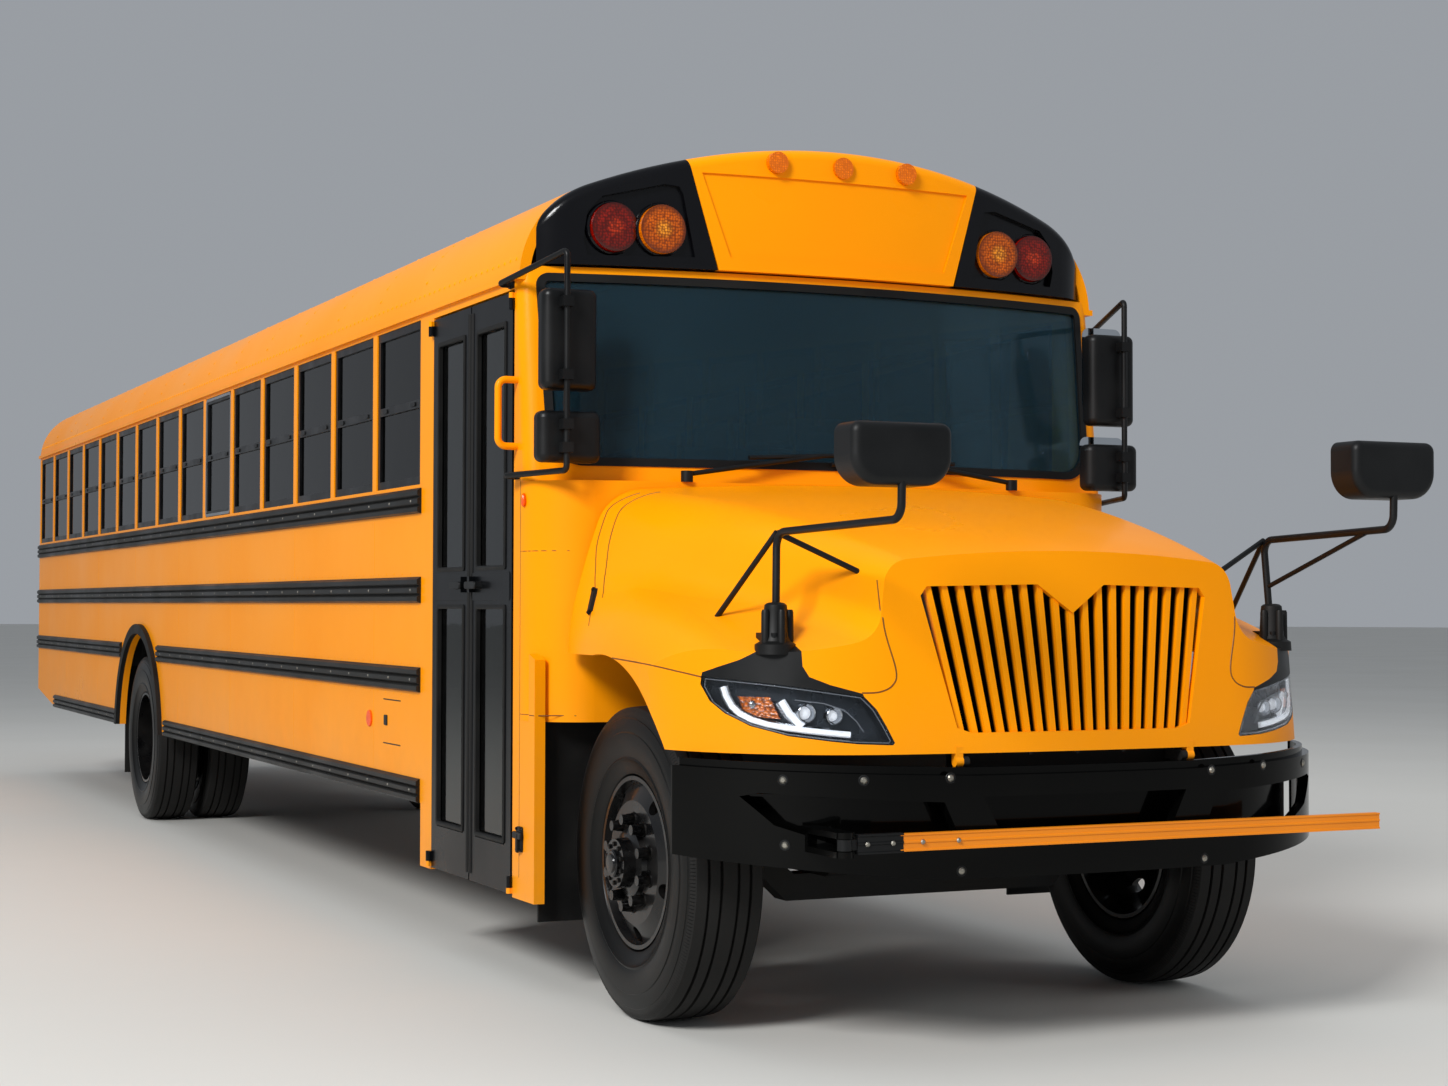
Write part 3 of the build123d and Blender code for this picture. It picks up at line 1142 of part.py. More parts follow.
# the nuts' round over their 33 mm flats, a little less on the left, so that each circle is told from the other
nut_round = {"right": 17.0, "left": 16.5}
hand_holes = 5
for side, name in sides:
    with BuildPart() as front_tyre:
        spun([(side * x, r) for x, r in tyre_outline(front_track_half)], fa)
    save(front_tyre, f"front_tyre_{name}")

    with BuildPart() as rear_tyres:
        for pair in (-1, 1):
            spun([(side * x, r) for x, r in tyre_outline(dual_track_half + pair * dual_pitch / 2)], ra)
    save(rear_tyres, f"rear_tyres_{name}")

    # the front disc bulges outwards round the hub
    with BuildPart() as front_rim:
        x0 = front_track_half - 112
        x1 = front_track_half + 112
        disc = front_track_half + 70
        spun([(side * x, r) for x, r in ((x0, rim_r), (x1, rim_r), (x1, rim_r - rim_wall),
                                         (disc + 14, rim_r - 20),
                                         (disc + 44, 205), (disc + 44, 55), (disc + 28, 55), (disc + 28, 195),
                                         (disc - 6, rim_r - 30), (x0, rim_r - rim_wall))], fa)
        spun([(side * x, r) for x, r in ((disc + 40, 0), (disc + 40, 118), (disc + 62, 112), (disc + 70, 84),
                                         (disc + 112, 80), (disc + 112, 0))], fa)
        with Locations(Plane(origin=(side * (disc + 30), fa, axle_z), z_dir=(side, 0, 0)).location):
            with PolarLocations(238, hand_holes):
                Cylinder(26, 120, mode=Mode.SUBTRACT)
            with PolarLocations(stud_circle, studs, start_angle=wheel_turn[name]):
                with Locations((0, 0, 36)):
                    Cylinder(nut_round[name], 48)
    save(front_rim, f"front_rim_{name}")

    # the rear discs meet back to back between the twin tyres
    with BuildPart() as rear_rims:
        for pair in (-1, 1):
            centre = dual_track_half + pair * dual_pitch / 2
            x0 = centre - 112
            x1 = centre + 112
            meet = dual_track_half
            inner = meet + pair * 16
            near = x0 if pair > 0 else x1
            far = x1 if pair > 0 else x0
            spun([(side * x, r) for x, r in ((near, rim_r), (far, rim_r), (far, rim_r - rim_wall),
                                             (near + pair * 40, rim_r - rim_wall), (inner, 235), (inner, 60),
                                             (meet, 60), (meet, 245), (near, rim_r - rim_wall))], ra)
        spun([(side * x, r) for x, r in ((meet, stub_r + 0.3), (meet, 118), (meet + 40, 112), (meet + 90, 84),
                                         (meet + 165, 80), (meet + 165, 0), (meet + 60, 0),
                                         (meet + 60, stub_r + 0.3))], ra)
        with Locations(Plane(origin=(side * meet, ra, axle_z), z_dir=(side, 0, 0)).location):
            with PolarLocations(190, hand_holes):
                Cylinder(24, 120, mode=Mode.SUBTRACT)
            with PolarLocations(stud_circle, studs, start_angle=wheel_turn[name]):
                with Locations((0, 0, 30)):
                    Cylinder(nut_round[name], 34)
    save(rear_rims, f"rear_rims_{name}")

# Entrance doors: two glazed leaves that swing outwards from the door posts.
leaf_x = (-body_half - 3.0, -body_half - 3.0 + door_thick)
leaf_split = (door_front_y + door_rear_y) / 2
seal_half = 6.0
leaf_z = (door_z0 + 10, door_z1 - 10)
glass_rows = ((door_z0 + 180, 1368.0), (1508.0, 2404.0))
leaf_edge = 68.0
# columns: name, hinge edge, closing edge, hinge pin
leaves = (
    ("front", door_front_y + door_gap, leaf_split - seal_half, door_front_y + 1),
    ("rear", door_rear_y - door_gap, leaf_split + seal_half, door_rear_y - 1),
)
for name, hinge_y, closing_y, pin_y in leaves:
    y_span = sorted((hinge_y, closing_y))
    toward = 1 if closing_y > hinge_y else -1
    with BuildPart() as leaf:
        block(leaf_x, y_span, leaf_z)
        for z_span in glass_rows:
            block((leaf_x[0] - 1, leaf_x[1] + 1), (y_span[0] + leaf_edge, y_span[1] - leaf_edge), z_span,
                  Mode.SUBTRACT)
        for z_span in ((door_z0 + 34.4, door_z0 + 74), (door_z1 - 74, door_z1 - 34.4)):
            with Locations((-body_half - 12, pin_y, sum(z_span) / 2)):
                Cylinder(10, z_span[1] - z_span[0])
            block((-body_half - 14, -body_half - 2), sorted((pin_y, hinge_y + toward * 10)), z_span)
        grip_y = closing_y - toward * 45
        block((leaf_x[0] - 26, leaf_x[0] + 1), (grip_y - 12, grip_y + 12), (1420, 1480))
    save(leaf, f"door_{name}")
    with BuildPart() as pane:
        for z0, z1 in glass_rows:
            mid = sum(leaf_x) / 2
            block((mid - glass / 2, mid + glass / 2), (y_span[0] + leaf_edge, y_span[1] - leaf_edge),
                  (z0, z1))
    save(pane, f"door_glass_{name}")

# Rear emergency door: a skin over the doorway, hinged on the bus's right.
skin_y = (body_rear + door_skin_gap, body_rear + door_skin_gap + door_skin)
rear_pane_x = 290.0
rear_panes = ((1200.0, 1640.0), (1800.0, 2440.0))
with BuildPart() as rear_door:
    block((-rear_door_half - door_lap, rear_door_half + door_lap), skin_y,
          (rear_door_z[0] - door_lap, rear_door_z[1] + door_lap))
    for z_span in rear_panes:
        block((-rear_pane_x, rear_pane_x), (skin_y[0] - 1, skin_y[1] + 1), z_span, Mode.SUBTRACT)
    for z in (rear_door_z[0] + 150, rear_door_z[1] - 150):
        block((rear_hinge[0], rear_hinge[0] + 30), (skin_y[1] - 6, skin_y[1] + 4), (z - 29.6, z + 20))
        with Locations((*rear_hinge, z - 4.8)):
            Cylinder(9, 49.6)
    block((rear_door_half - 90, rear_door_half - 60), (skin_y[1], skin_y[1] + 30), (1690, 1760))
save(rear_door, "rear_door")
with BuildPart() as rear_door_glass:
    mid = sum(skin_y) / 2
    for z_span in rear_panes:
        block((-rear_pane_x, rear_pane_x), (mid - glass / 2, mid + glass / 2), z_span)
save(rear_door_glass, "rear_door_glass")

# Roof hatches: two lids hinged at their front edges.
for name, y in zip(("front", "rear"), hatch_y):
    with BuildPart() as hatch:
        block((-lid_half, lid_half), (y - lid_half, y + lid_half), (rim_top + 0.3, rim_top + 26))
        fillet(hatch.edges().filter_by(Axis.Z), radius=40)
        fillet(hatch.faces().sort_by(Axis.Z)[-1].edges(), radius=12)
        pin_y = y - lid_half - hatch_pin
        for x in (-168 + 14.4, 168 - 14.4):
            block((x - 14, x + 14), (pin_y, pin_y + 30), (rim_top + 1, rim_top + 15))
            rod((x - 14, pin_y, rim_top + 8), (x + 14, pin_y, rim_top + 8), 8)
    save(hatch, f"hatch_{name}")

# Stop arm: a blank eight-sided blade folded along the driver's side.
stop_r = 245.0
with BuildPart() as stop_arm:
    with BuildSketch(Plane(origin=(stop_x, stop_y + 330, stop_z), x_dir=(0, 1, 0), z_dir=(1, 0, 0))) as blade:
        RegularPolygon(stop_r, 8, rotation=22.5)
    extrude(blade.sketch, amount=6)
    block((stop_x, stop_x + 6), (stop_y, stop_y + 110), (stop_z - stop_half, stop_z + stop_half))
    rod((stop_x + 3, stop_y, stop_z - stop_half), (stop_x + 3, stop_y, stop_z + stop_half), stop_pin_r)
save(stop_arm, "stop_arm")

# Crossing gate: a long arm folded across the front bumper.
gate_end = 1080.0
with BuildPart() as crossing_gate:
    with Locations((*gate_pivot, 677)):
        Cylinder(24, 37.4)
    block((gate_pivot[0], -770), (gate_pivot[1] - 14, gate_pivot[1] + 14), (661, 693))
    block((-770, gate_end), (gate_pivot[1] - 12, gate_pivot[1] + 12), (661, 693))
save(crossing_gate, "crossing_gate")
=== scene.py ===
"""A full-size school bus, dressed over its CAD frame. Metres, +Z up, the front faces -Y, the entrance is at -X."""
import math

import bmesh
import bpy
from mathutils import Matrix, Vector
from mathutils.bvhtree import BVHTree


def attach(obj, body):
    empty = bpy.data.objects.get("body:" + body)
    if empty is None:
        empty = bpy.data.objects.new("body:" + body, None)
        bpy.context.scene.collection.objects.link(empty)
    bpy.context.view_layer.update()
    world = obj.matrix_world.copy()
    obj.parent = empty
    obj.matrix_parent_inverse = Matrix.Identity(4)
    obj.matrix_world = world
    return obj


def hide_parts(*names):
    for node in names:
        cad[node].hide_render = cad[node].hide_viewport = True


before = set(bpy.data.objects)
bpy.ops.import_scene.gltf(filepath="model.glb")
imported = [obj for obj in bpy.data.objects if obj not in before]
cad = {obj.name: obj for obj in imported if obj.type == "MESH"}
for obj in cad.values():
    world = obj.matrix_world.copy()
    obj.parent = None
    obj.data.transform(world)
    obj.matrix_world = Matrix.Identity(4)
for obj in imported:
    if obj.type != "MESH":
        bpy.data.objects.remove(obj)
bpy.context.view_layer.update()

# Camera.
# The photographer stood on the pavement ahead of the bus, on its door side, at about eye height.
# The place, the turn and the lens come from fitting the bus's own lengths in perspective.
camera = bpy.data.objects.new("camera", bpy.data.cameras.new("camera"))
bpy.context.collection.objects.link(camera)
camera.data.sensor_width = 36.0
camera.data.lens = 57.57
camera.data.clip_end = 400.0
camera.matrix_world = (
    Matrix.Translation((-4.0218, -12.5717, 1.3735))
    @ Matrix.Rotation(math.radians(-24.69), 4, "Z")
    @ Matrix.Rotation(math.radians(91.54), 4, "X")
    @ Matrix.Rotation(math.radians(0.13), 4, "Z")
)
bpy.context.scene.camera = camera

# Studio.
# A wide pale floor under a plain soft sky, with one large key from the door side and the front,
# where the sun stands in the photograph, and a weak fill from the other side.


def sheet_colour(code):
    """A paint-chart colour, sRGB hex, as the linear colour that a shader takes."""
    parts = [int(code[i:i + 2], 16) / 255 for i in (1, 3, 5)]
    return [p / 12.92 if p <= 0.04045 else ((p + 0.055) / 1.055) ** 2.4 for p in parts] + [1.0]


def add_node(owner, kind, inputs=None, **settings):
    """Adds a node whose inputs are values, or nodes and sockets to link. A texture lies on object coordinates."""
    tree = getattr(owner, "node_tree", owner)
    new = tree.nodes.new(kind)
    for key, value in settings.items():
        setattr(new, key, value)
    for key, value in (inputs or {}).items():
        if isinstance(value, bpy.types.Node):
            value = next(output for output in value.outputs if output.enabled)
        if isinstance(value, bpy.types.NodeSocket):
            tree.links.new(value, new.inputs[key])
        else:
            new.inputs[key].default_value = value
    if kind.startswith("ShaderNodeTex") and "Vector" in new.inputs:
        tree.links.new(tree.nodes["Texture Coordinate"].outputs["Object"], new.inputs["Vector"])
    return new


def finish(name, colour, drift, drift_size, gloss, grain, relief, amount=0.5, **sockets):
    """A material with drifts of a second colour, uneven gloss and a grain, in metres, on one Principled shader."""
    material = bpy.data.materials.new(name)
    material.use_nodes = True
    shader = material.node_tree.nodes["Principled BSDF"]
    for socket, value in sockets.items():
        shader.inputs[socket.replace("_", " ")].default_value = sheet_colour(value) if isinstance(value, str) else value
    add_node(material, "ShaderNodeTexCoord")
    fine = add_node(material, "ShaderNodeTexNoise", {"Scale": 1.0 / grain, "Detail": 3.0})
    bump = add_node(material, "ShaderNodeBump", {"Height": fine, "Strength": 0.6, "Distance": relief})
    slow = add_node(material, "ShaderNodeTexNoise", {"Scale": 1.0 / drift_size, "Detail": 5.0})
    dull = add_node(material, "ShaderNodeMapRange", {"Value": slow, "From Min": 0.3, "From Max": 0.7,
                                                     "To Min": gloss[0], "To Max": gloss[1]})
    share = add_node(material, "ShaderNodeMapRange", {"Value": slow, "From Min": 0.35, "From Max": 0.75,
                                                      "To Max": amount})
    mixed = add_node(material, "ShaderNodeMix", {0: share, 6: sheet_colour(colour), 7: sheet_colour(drift)},
                     data_type="RGBA")
    links = material.node_tree.links
    links.new(bump.outputs[0], shader.inputs["Normal"])
    links.new(dull.outputs[0], shader.inputs["Roughness"])
    links.new(mixed.outputs[2], shader.inputs["Base Color"])
    return material


floor_paint = finish("studio_floor_paint", "#D2D1CC", "#CBCAC4", 2.5, (0.65, 0.8), 0.02, 0.0006)
bpy.ops.mesh.primitive_circle_add(vertices=96, radius=150.0, fill_type="NGON", location=(0, 0, 0))
studio_floor = bpy.context.object
studio_floor.name = "studio_floor"
studio_floor.data.materials.append(floor_paint)

bpy.context.scene.view_settings.view_transform = "Standard"
world = bpy.data.worlds.new("sky")
bpy.context.scene.world = world
world.use_nodes = True
world.node_tree.nodes["Background"].inputs["Color"].default_value = sheet_colour("#E2E8F0")
world.node_tree.nodes["Background"].inputs["Strength"].default_value = 0.42

# columns: name, where it stands, what it aims at, size, power
for name, stand, aim, size, power in (
    ("key", (-16.0, -15.0, 13.5), (0.0, -3.0, 1.2), 6.0, 4700.0),
    ("fill", (15.0, -14.0, 9.0), (0.5, -5.0, 1.4), 9.0, 450.0),
    ("sky_panel", (0.0, 1.0, 13.0), (0.0, 1.0, 0.0), 16.0, 700.0),
):
    lamp = bpy.data.objects.new(name, bpy.data.lights.new(name, "AREA"))
    bpy.context.collection.objects.link(lamp)
    lamp.data.size = size
    lamp.data.energy = power
    lamp.location = stand
    lamp.rotation_euler = (Vector(aim) - Vector(stand)).to_track_quat("-Z", "Y").to_euler()
    lamp.visible_glossy = name == "key"

# Chassis.
# A riveted ladder frame with leaf-sprung axles, the engine block, the driveline and the tank, all
# sprayed in one dull black chassis paint, which greys with road dust. The exhaust is bare steel.


def dress(material, *names):
    """Puts one material on CAD nodes."""
    for name in names:
        cad[name].data.materials.clear()
        cad[name].data.materials.append(material)


# dull alkyd chassis paint: brushed and sprayed thick, so it is lumpy, and dust lies on it in drifts
chassis_paint = finish("chassis_alkyd_black", "#0D0E0F", "#2C2A26", 0.35, (0.5, 0.75), 0.012, 0.0009, 0.7,
                       Specular_IOR_Level=0.25)
dress(chassis_paint, "frame_rails", "front_axle", "rear_axle", "leaf_springs", "engine", "driveline", "fuel_tank",
      "knuckle_right", "knuckle_left", "tie_rod")


def overlay(material, height=None, relief=0.0, strength=0.8, sunk=False, share=None, colour=None):
    """Lays a pattern over a material, as one more relief, as a second colour where its share is high, or both."""
    shader = material.node_tree.nodes["Principled BSDF"].inputs
    links = material.node_tree.links
    if height:
        under = shader["Normal"].links[0].from_socket
        over = add_node(material, "ShaderNodeBump", {"Height": height, "Strength": strength, "Distance": relief,
                                                     "Normal": under}, invert=sunk)
        links.new(over.outputs[0], shader["Normal"])
    if share:
        under = shader["Base Color"].links[0].from_socket
        over = add_node(material, "ShaderNodeMix", {0: share, 6: under, 7: sheet_colour(colour)}, data_type="RGBA")
        links.new(over.outputs[2], shader["Base Color"])


# radiator core: black-lacquered aluminium fins 2.5 mm apart, drawn at 8 mm so that they show
core = finish("radiator_lacquer", "#050506", "#0B0B0B", 0.2, (0.45, 0.65), 0.01, 0.0004)
fins = add_node(core, "ShaderNodeTexWave", {"Scale": 39.0}, bands_direction="Z")
overlay(core, fins.outputs["Fac"], 0.002)
dress(core, "radiator")
# aluminised steel pipe: bright where it is new, with straw and brown heat stains in patches
pipe_steel = finish("aluminised_steel", "#9A968E", "#5E4A38", 0.25, (0.28, 0.55), 0.004, 0.0003, 0.8, Metallic=1.0)
dress(pipe_steel, "exhaust")

# Wheels.
# Radial truck tyres on ten-stud pressed steel discs, single in front and twinned at the rear. The
# discs are enamelled black, each nut sits on a loose washer, and a cap seals the oil in the hub.


def turned(shape, profile, centre, facing, steps, closed=False):
    """Spins a profile of (along, radius) round an axis, and returns its rings of points."""
    facing = Vector(facing).normalized()
    across = Vector((0, 0, 1)) if abs(facing.z) < 0.9 else Vector((1, 0, 0))
    side_way = facing.cross(across)
    rings = []
    for along, radius in profile:
        base = Vector(centre) + facing * along
        # a profile point on the axis is one point, which closes the end
        turns = [2 * math.pi * n / steps for n in range(steps if radius > 0 else 1)]
        rings.append([shape.verts.new(base + (across * math.cos(t) + side_way * math.sin(t)) * radius) for t in turns])
    for near, far in zip(rings, rings[1:] + rings[:1] if closed else rings[1:]):
        for n in range(steps):
            corners = [near[n % len(near)], near[(n + 1) % len(near)], far[(n + 1) % len(far)], far[n % len(far)]]
            shape.faces.new(list(dict.fromkeys(corners)))
    return rings


def made(name, shape, material, body, sharp=0.6):
    """Turns a finished shape into a piece that rides on its body, smooth but for its sharp edges."""
    bmesh.ops.recalc_face_normals(shape, faces=shape.faces)
    for face in shape.faces:
        face.smooth = True
    for edge in shape.edges:
        edge.smooth = len(edge.link_faces) == 2 and edge.calc_face_angle() < sharp
    mesh = bpy.data.meshes.new(name)
    shape.to_mesh(mesh)
    shape.free()
    mesh.materials.append(material)
    piece = bpy.data.objects.new(name, mesh)
    bpy.context.collection.objects.link(piece)
    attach(piece, body)
    return piece


def fastener_tree(name, in_rows):
    """A tree that sets a head on every point, or one at each even step along every run of edges."""
    tree = bpy.data.node_groups.new(name, "GeometryNodeTree")
    for label, kind in (("Places", "Geometry"), ("Spacing", "Float"), ("Radius", "Float"), ("Crown", "Float"),
                        ("Height", "Float"), ("Sides", "Int"), ("Finish", "Material")):
        tree.interface.new_socket(name=label, in_out="INPUT", socket_type="NodeSocket" + kind)
    tree.interface.new_socket(name="Heads", in_out="OUTPUT", socket_type="NodeSocketGeometry")
    given = add_node(tree, "NodeGroupInput").outputs
    spots = given["Places"]
    if in_rows:
        run = add_node(tree, "GeometryNodeMeshToCurve", {"Mesh": spots})
        spots = add_node(tree, "GeometryNodeResampleCurve", {"Curve": run, "Length": given["Spacing"]}, mode="LENGTH")
    head = add_node(tree, "GeometryNodeMeshCone", {"Vertices": given["Sides"], "Radius Bottom": given["Radius"],
                                                   "Radius Top": given["Crown"], "Depth": given["Height"]})
    facing = add_node(tree, "GeometryNodeInputNamedAttribute", {"Name": "facing"}, data_type="FLOAT_VECTOR")
    square = add_node(tree, "FunctionNodeAlignRotationToVector", {"Vector": facing.outputs["Attribute"]}, axis="Z")
    heads = add_node(tree, "GeometryNodeInstanceOnPoints", {"Points": spots, "Instance": head, "Rotation": square})
    whole = add_node(tree, "GeometryNodeRealizeInstances", {"Geometry": heads})
    painted = add_node(tree, "GeometryNodeSetMaterial", {"Geometry": whole, "Material": given["Finish"]})
    add_node(tree, "NodeGroupOutput", {"Heads": painted})
    return tree


set_in_rows = fastener_tree("heads_in_rows", True)
set_on_spots = fastener_tree("heads_on_spots", False)


def fasteners(name, runs, body, material, radius, height, crown=0.5, sides=8, spacing=None):
    """One mesh of heads for one body. Each run is a list of (place, facing), filled evenly if there is a spacing."""
    runs = [[hit for hit in run if hit] for run in runs]
    places = [place for run in runs for place, _ in run]
    edges = []
    for run in runs:
        first = edges[-1][1] + 1 if edges else 0
        edges += [(first + n, first + n + 1) for n in range(len(run) - 1)]
    base = bpy.data.meshes.new(name)
    base.from_pydata(places, edges if spacing else [], [])
    facings = base.attributes.new("facing", "FLOAT_VECTOR", "POINT")
    for n, facing in enumerate(facing for run in runs for _, facing in run):
        facings.data[n].vector = facing
    piece = bpy.data.objects.new(name, base)
    bpy.context.collection.objects.link(piece)
    heads = piece.modifiers.new("heads", "NODES")
    heads.node_group = set_in_rows if spacing else set_on_spots
    sizes = {"Spacing": spacing or 1.0, "Radius": radius, "Crown": radius * crown, "Height": height, "Sides": sides,
             "Finish": material}
    for item in heads.node_group.interface.items_tree:
        if item.in_out == "INPUT" and item.name in sizes:
            heads[item.identifier] = sizes[item.name]
    plain = bpy.data.meshes.new_from_object(piece.evaluated_get(bpy.context.evaluated_depsgraph_get()))
    piece.modifiers.clear()
    piece.data = plain
    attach(piece, body)
    return piece


front_axle_y = -5.4435
rear_axle_y = 2.4825
axle_z = 0.52
tyre_steps = 108
nut_circle = 0.143
# columns: distance from the tyre's middle, radius: the bead, the sidewall with its two rings, the shoulder, the ribs
tyre_half = ((0.104, 0.288), (0.113, 0.294), (0.121, 0.312), (0.128, 0.335), (0.1305, 0.338), (0.1345, 0.344),
             (0.1315, 0.351), (0.1345, 0.362), (0.138, 0.385), (0.1395, 0.410), (0.1385, 0.430), (0.1355, 0.433),
             (0.1355, 0.440), (0.1345, 0.455), (0.130, 0.478), (0.1275, 0.480), (0.126, 0.490), (0.121, 0.505),
             (0.113, 0.5135), (0.0775, 0.5175), (0.0765, 0.505), (0.0675, 0.505), (0.0665, 0.518), (0.035, 0.5195),
             (0.034, 0.507), (0.025, 0.507), (0.024, 0.5198))
tyre_inside = ((-0.08, 0.496), (-0.118, 0.44), (-0.112, 0.34), (-0.094, 0.29))
tyre_profile = [*tyre_half, *((-across, radius) for across, radius in tyre_half[::-1]), *tyre_inside[::-1],
                *((-across, radius) for across, radius in tyre_inside)]

# moulded black tyre rubber: matt and almost black on the wall, greyed and fine-sanded by the road on the tread
tyre_rubber = finish("moulded_tyre_rubber", "#070707", "#151412", 0.3, (0.3, 0.42), 0.006, 0.0003, 0.6,
                     Specular_IOR_Level=0.16)
wrap = add_node(tyre_rubber, "ShaderNodeUVMap", uv_map="wrap")
share_of_turn, wall_radius, _ = add_node(tyre_rubber, "ShaderNodeSeparateXYZ", {"Vector": wrap}).outputs
# sipes 12 mm apart round the shoulder, sunk, and painted near black as painted shade in the cuts, and a greyer, duller
# tread
sipes = 270
turned_by = add_node(tyre_rubber, "ShaderNodeMath", {0: share_of_turn, 1: sipes * 2 * math.pi}, operation="MULTIPLY")
sipe_wave = add_node(tyre_rubber, "ShaderNodeMath", {0: turned_by}, operation="SINE")
sipe_edge = add_node(tyre_rubber, "ShaderNodeMapRange", {"Value": sipe_wave, "From Min": 0.72, "From Max": 0.9})
on_tread = add_node(tyre_rubber, "ShaderNodeMapRange", {"Value": wall_radius, "From Min": 0.488, "From Max": 0.494})
off_crown = add_node(tyre_rubber, "ShaderNodeMapRange", {"Value": wall_radius, "From Min": 0.512, "From Max": 0.508})
shoulder = add_node(tyre_rubber, "ShaderNodeMath", {0: on_tread, 1: off_crown}, operation="MULTIPLY")
sipe_cut_and_shade = add_node(tyre_rubber, "ShaderNodeMath", {0: sipe_edge, 1: shoulder}, operation="MULTIPLY")
wear = add_node(tyre_rubber, "ShaderNodeMath", {0: on_tread, 1: 0.5}, operation="MULTIPLY")
overlay(tyre_rubber, sipe_cut_and_shade, 0.004, 1.0, sunk=True, share=wear, colour="#2B2A29")
# the sipes' near-black colour is painted shade in the cuts
overlay(tyre_rubber, share=sipe_cut_and_shade, colour="#020202")
rubber_roughness = tyre_rubber.node_tree.nodes["Principled BSDF"].inputs["Roughness"]
dulled = add_node(tyre_rubber, "ShaderNodeMapRange", {"Value": wall_radius, "From Min": 0.486, "From Max": 0.5,
                                                      "To Min": 1.0, "To Max": 1.7})
tread_gloss = add_node(tyre_rubber, "ShaderNodeMath", {0: rubber_roughness.links[0].from_socket, 1: dulled},
                       operation="MULTIPLY")
tyre_rubber.node_tree.links.new(tread_gloss.outputs[0], rubber_roughness)

# baked black wheel enamel: glossy, with grey brake dust lying thinly on it
wheel_enamel = finish("baked_wheel_enamel", "#070708", "#22201E", 0.12, (0.2, 0.42), 0.02, 0.0003, 0.55,
                      Coat_Weight=0.3, Specular_IOR_Level=0.25)
# phosphated steel nuts: dull dark grey
nut_steel = finish("phosphated_steel", "#1B1B1C", "#33302C", 0.02, (0.35, 0.6), 0.004, 0.0003, 0.6, Metallic=1.0)

for side, sign in (("right", -1), ("left", 1)):
    for name, at_y, middles, body in ((f"front_tyre_{side}", front_axle_y, (0.958,), f"front_wheel_{side}"),
                                      (f"rear_tyres_{side}", rear_axle_y, (0.745, 1.065), f"rear_wheels_{side}")):
        shape = bmesh.new()
        wrap_map = shape.loops.layers.uv.new("wrap")
        for middle in middles:
            turned(shape, tyre_profile, (sign * middle, at_y, axle_z), (sign, 0, 0), tyre_steps, closed=True)
        # each face's corners carry the share of a turn and the radius, and the last face ends at a whole turn
        for face in shape.faces:
            spots = [math.atan2(loop.vert.co.y - at_y, loop.vert.co.z - axle_z) / (2 * math.pi) for loop in face.loops]
            for loop, spot in zip(face.loops, spots):
                share = spot + 1 if max(spots) - spot > 0.5 else spot
                loop[wrap_map].uv = (share, math.hypot(loop.vert.co.y - at_y, loop.vert.co.z - axle_z))
        tyre = made(f"{name}_moulded", shape, tyre_rubber, body, sharp=0.5)
        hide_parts(name)
    dress(wheel_enamel, f"front_rim_{side}", f"rear_rims_{side}")
    for where, at_y, body, face_x, hub_x in (("front", front_axle_y, f"front_wheel_{side}", 1.0715, 1.1395),
                                             ("rear", rear_axle_y, f"rear_wheels_{side}", 0.9445, 1.0695)):
        # columns: name, distance out, radius of the circle, then each head's radius, height, crown and sides
        for name, head_x, circle, radius, height, crown, sides in (
            ("washers", face_x, nut_circle, 0.0255, 0.005, 0.92, 16),
            ("nuts", face_x + 0.0045, nut_circle, 0.0205, 0.024, 0.9, 6),
            ("hub_bolts", hub_x, 0.064, 0.0085, 0.007, 0.85, 6),
        ):
            angles = [math.radians((0 if side == "right" else 18) + 36 * n) for n in range(10)]
            spots = [(sign * head_x, at_y + circle * math.sin(a), axle_z + circle * math.cos(a)) for a in angles]
            fasteners(f"{where}_{name}_{side}", [[(spot, (sign, 0, 0))] for spot in spots], body, nut_steel,
                      radius, height, crown, sides)
        cap = bmesh.new()
        turned(cap, ((-0.004, 0.046), (0.010, 0.046), (0.014, 0.041), (0.014, 0.034), (0.019, 0.030), (0.021, 0.012),
                     (0.021, 0)), (sign * hub_x, at_y, axle_z), (sign, 0, 0), 32)
        made(f"{where}_hub_cap_{side}", cap, wheel_enamel, body)

# Body shell.
# Galvanised sheet riveted over steel hoops and sprayed with two-pack yellow enamel: side sheets,
# window bands, roof, cap, cowl and rear wall are one colour, glossy, with a slow wave in long sheets.

# two-pack enamel: deep even yellow, faint orange peel, sheets not quite flat, road dust towards the sills
enamel = finish("two_pack_yellow_enamel", "#FF9C00", "#FA9200", 1.1, (0.26, 0.42), 0.012, 0.00025, 0.7,
                Specular_IOR_Level=0.1, Coat_Weight=0.05, Coat_Roughness=0.1)
place = enamel.node_tree.nodes["Texture Coordinate"].outputs["Object"]
wave = add_node(enamel, "ShaderNodeTexNoise", {"Scale": 1.6, "Detail": 1.0})
height = add_node(enamel, "ShaderNodeSeparateXYZ", {"Vector": place}).outputs["Z"]
low = add_node(enamel, "ShaderNodeMapRange", {"Value": height, "From Min": 1.15, "From Max": 0.45, "To Max": 0.35})
patch = add_node(enamel, "ShaderNodeTexNoise", {"Scale": 9.0, "Detail": 6.0})
dust = add_node(enamel, "ShaderNodeMath", {0: low, 1: patch}, operation="MULTIPLY")
overlay(enamel, wave, 0.012, 0.35, share=dust, colour="#B98A4A")
dress(enamel, "side_panels", "window_bands", "roof", "front_cap", "cowl", "rear_wall", "rear_door", "hood_shell",
      "grab_handle")


def feel(node):
    """A search tree over a CAD node's surface, to lay seams and trim on it."""
    mesh = cad[node].data
    return BVHTree.FromPolygons([v.co for v in mesh.vertices], [p.vertices[:] for p in mesh.polygons])


def touch(tree, start, direction):
    """Where a probe first meets a surface, with the way that the surface faces, or None where it misses."""
    place, normal, _, _ = tree.ray_cast(Vector(start), Vector(direction))
    if place is None:
        return None
    return place, -normal if normal.dot(Vector(direction)) > 0 else normal


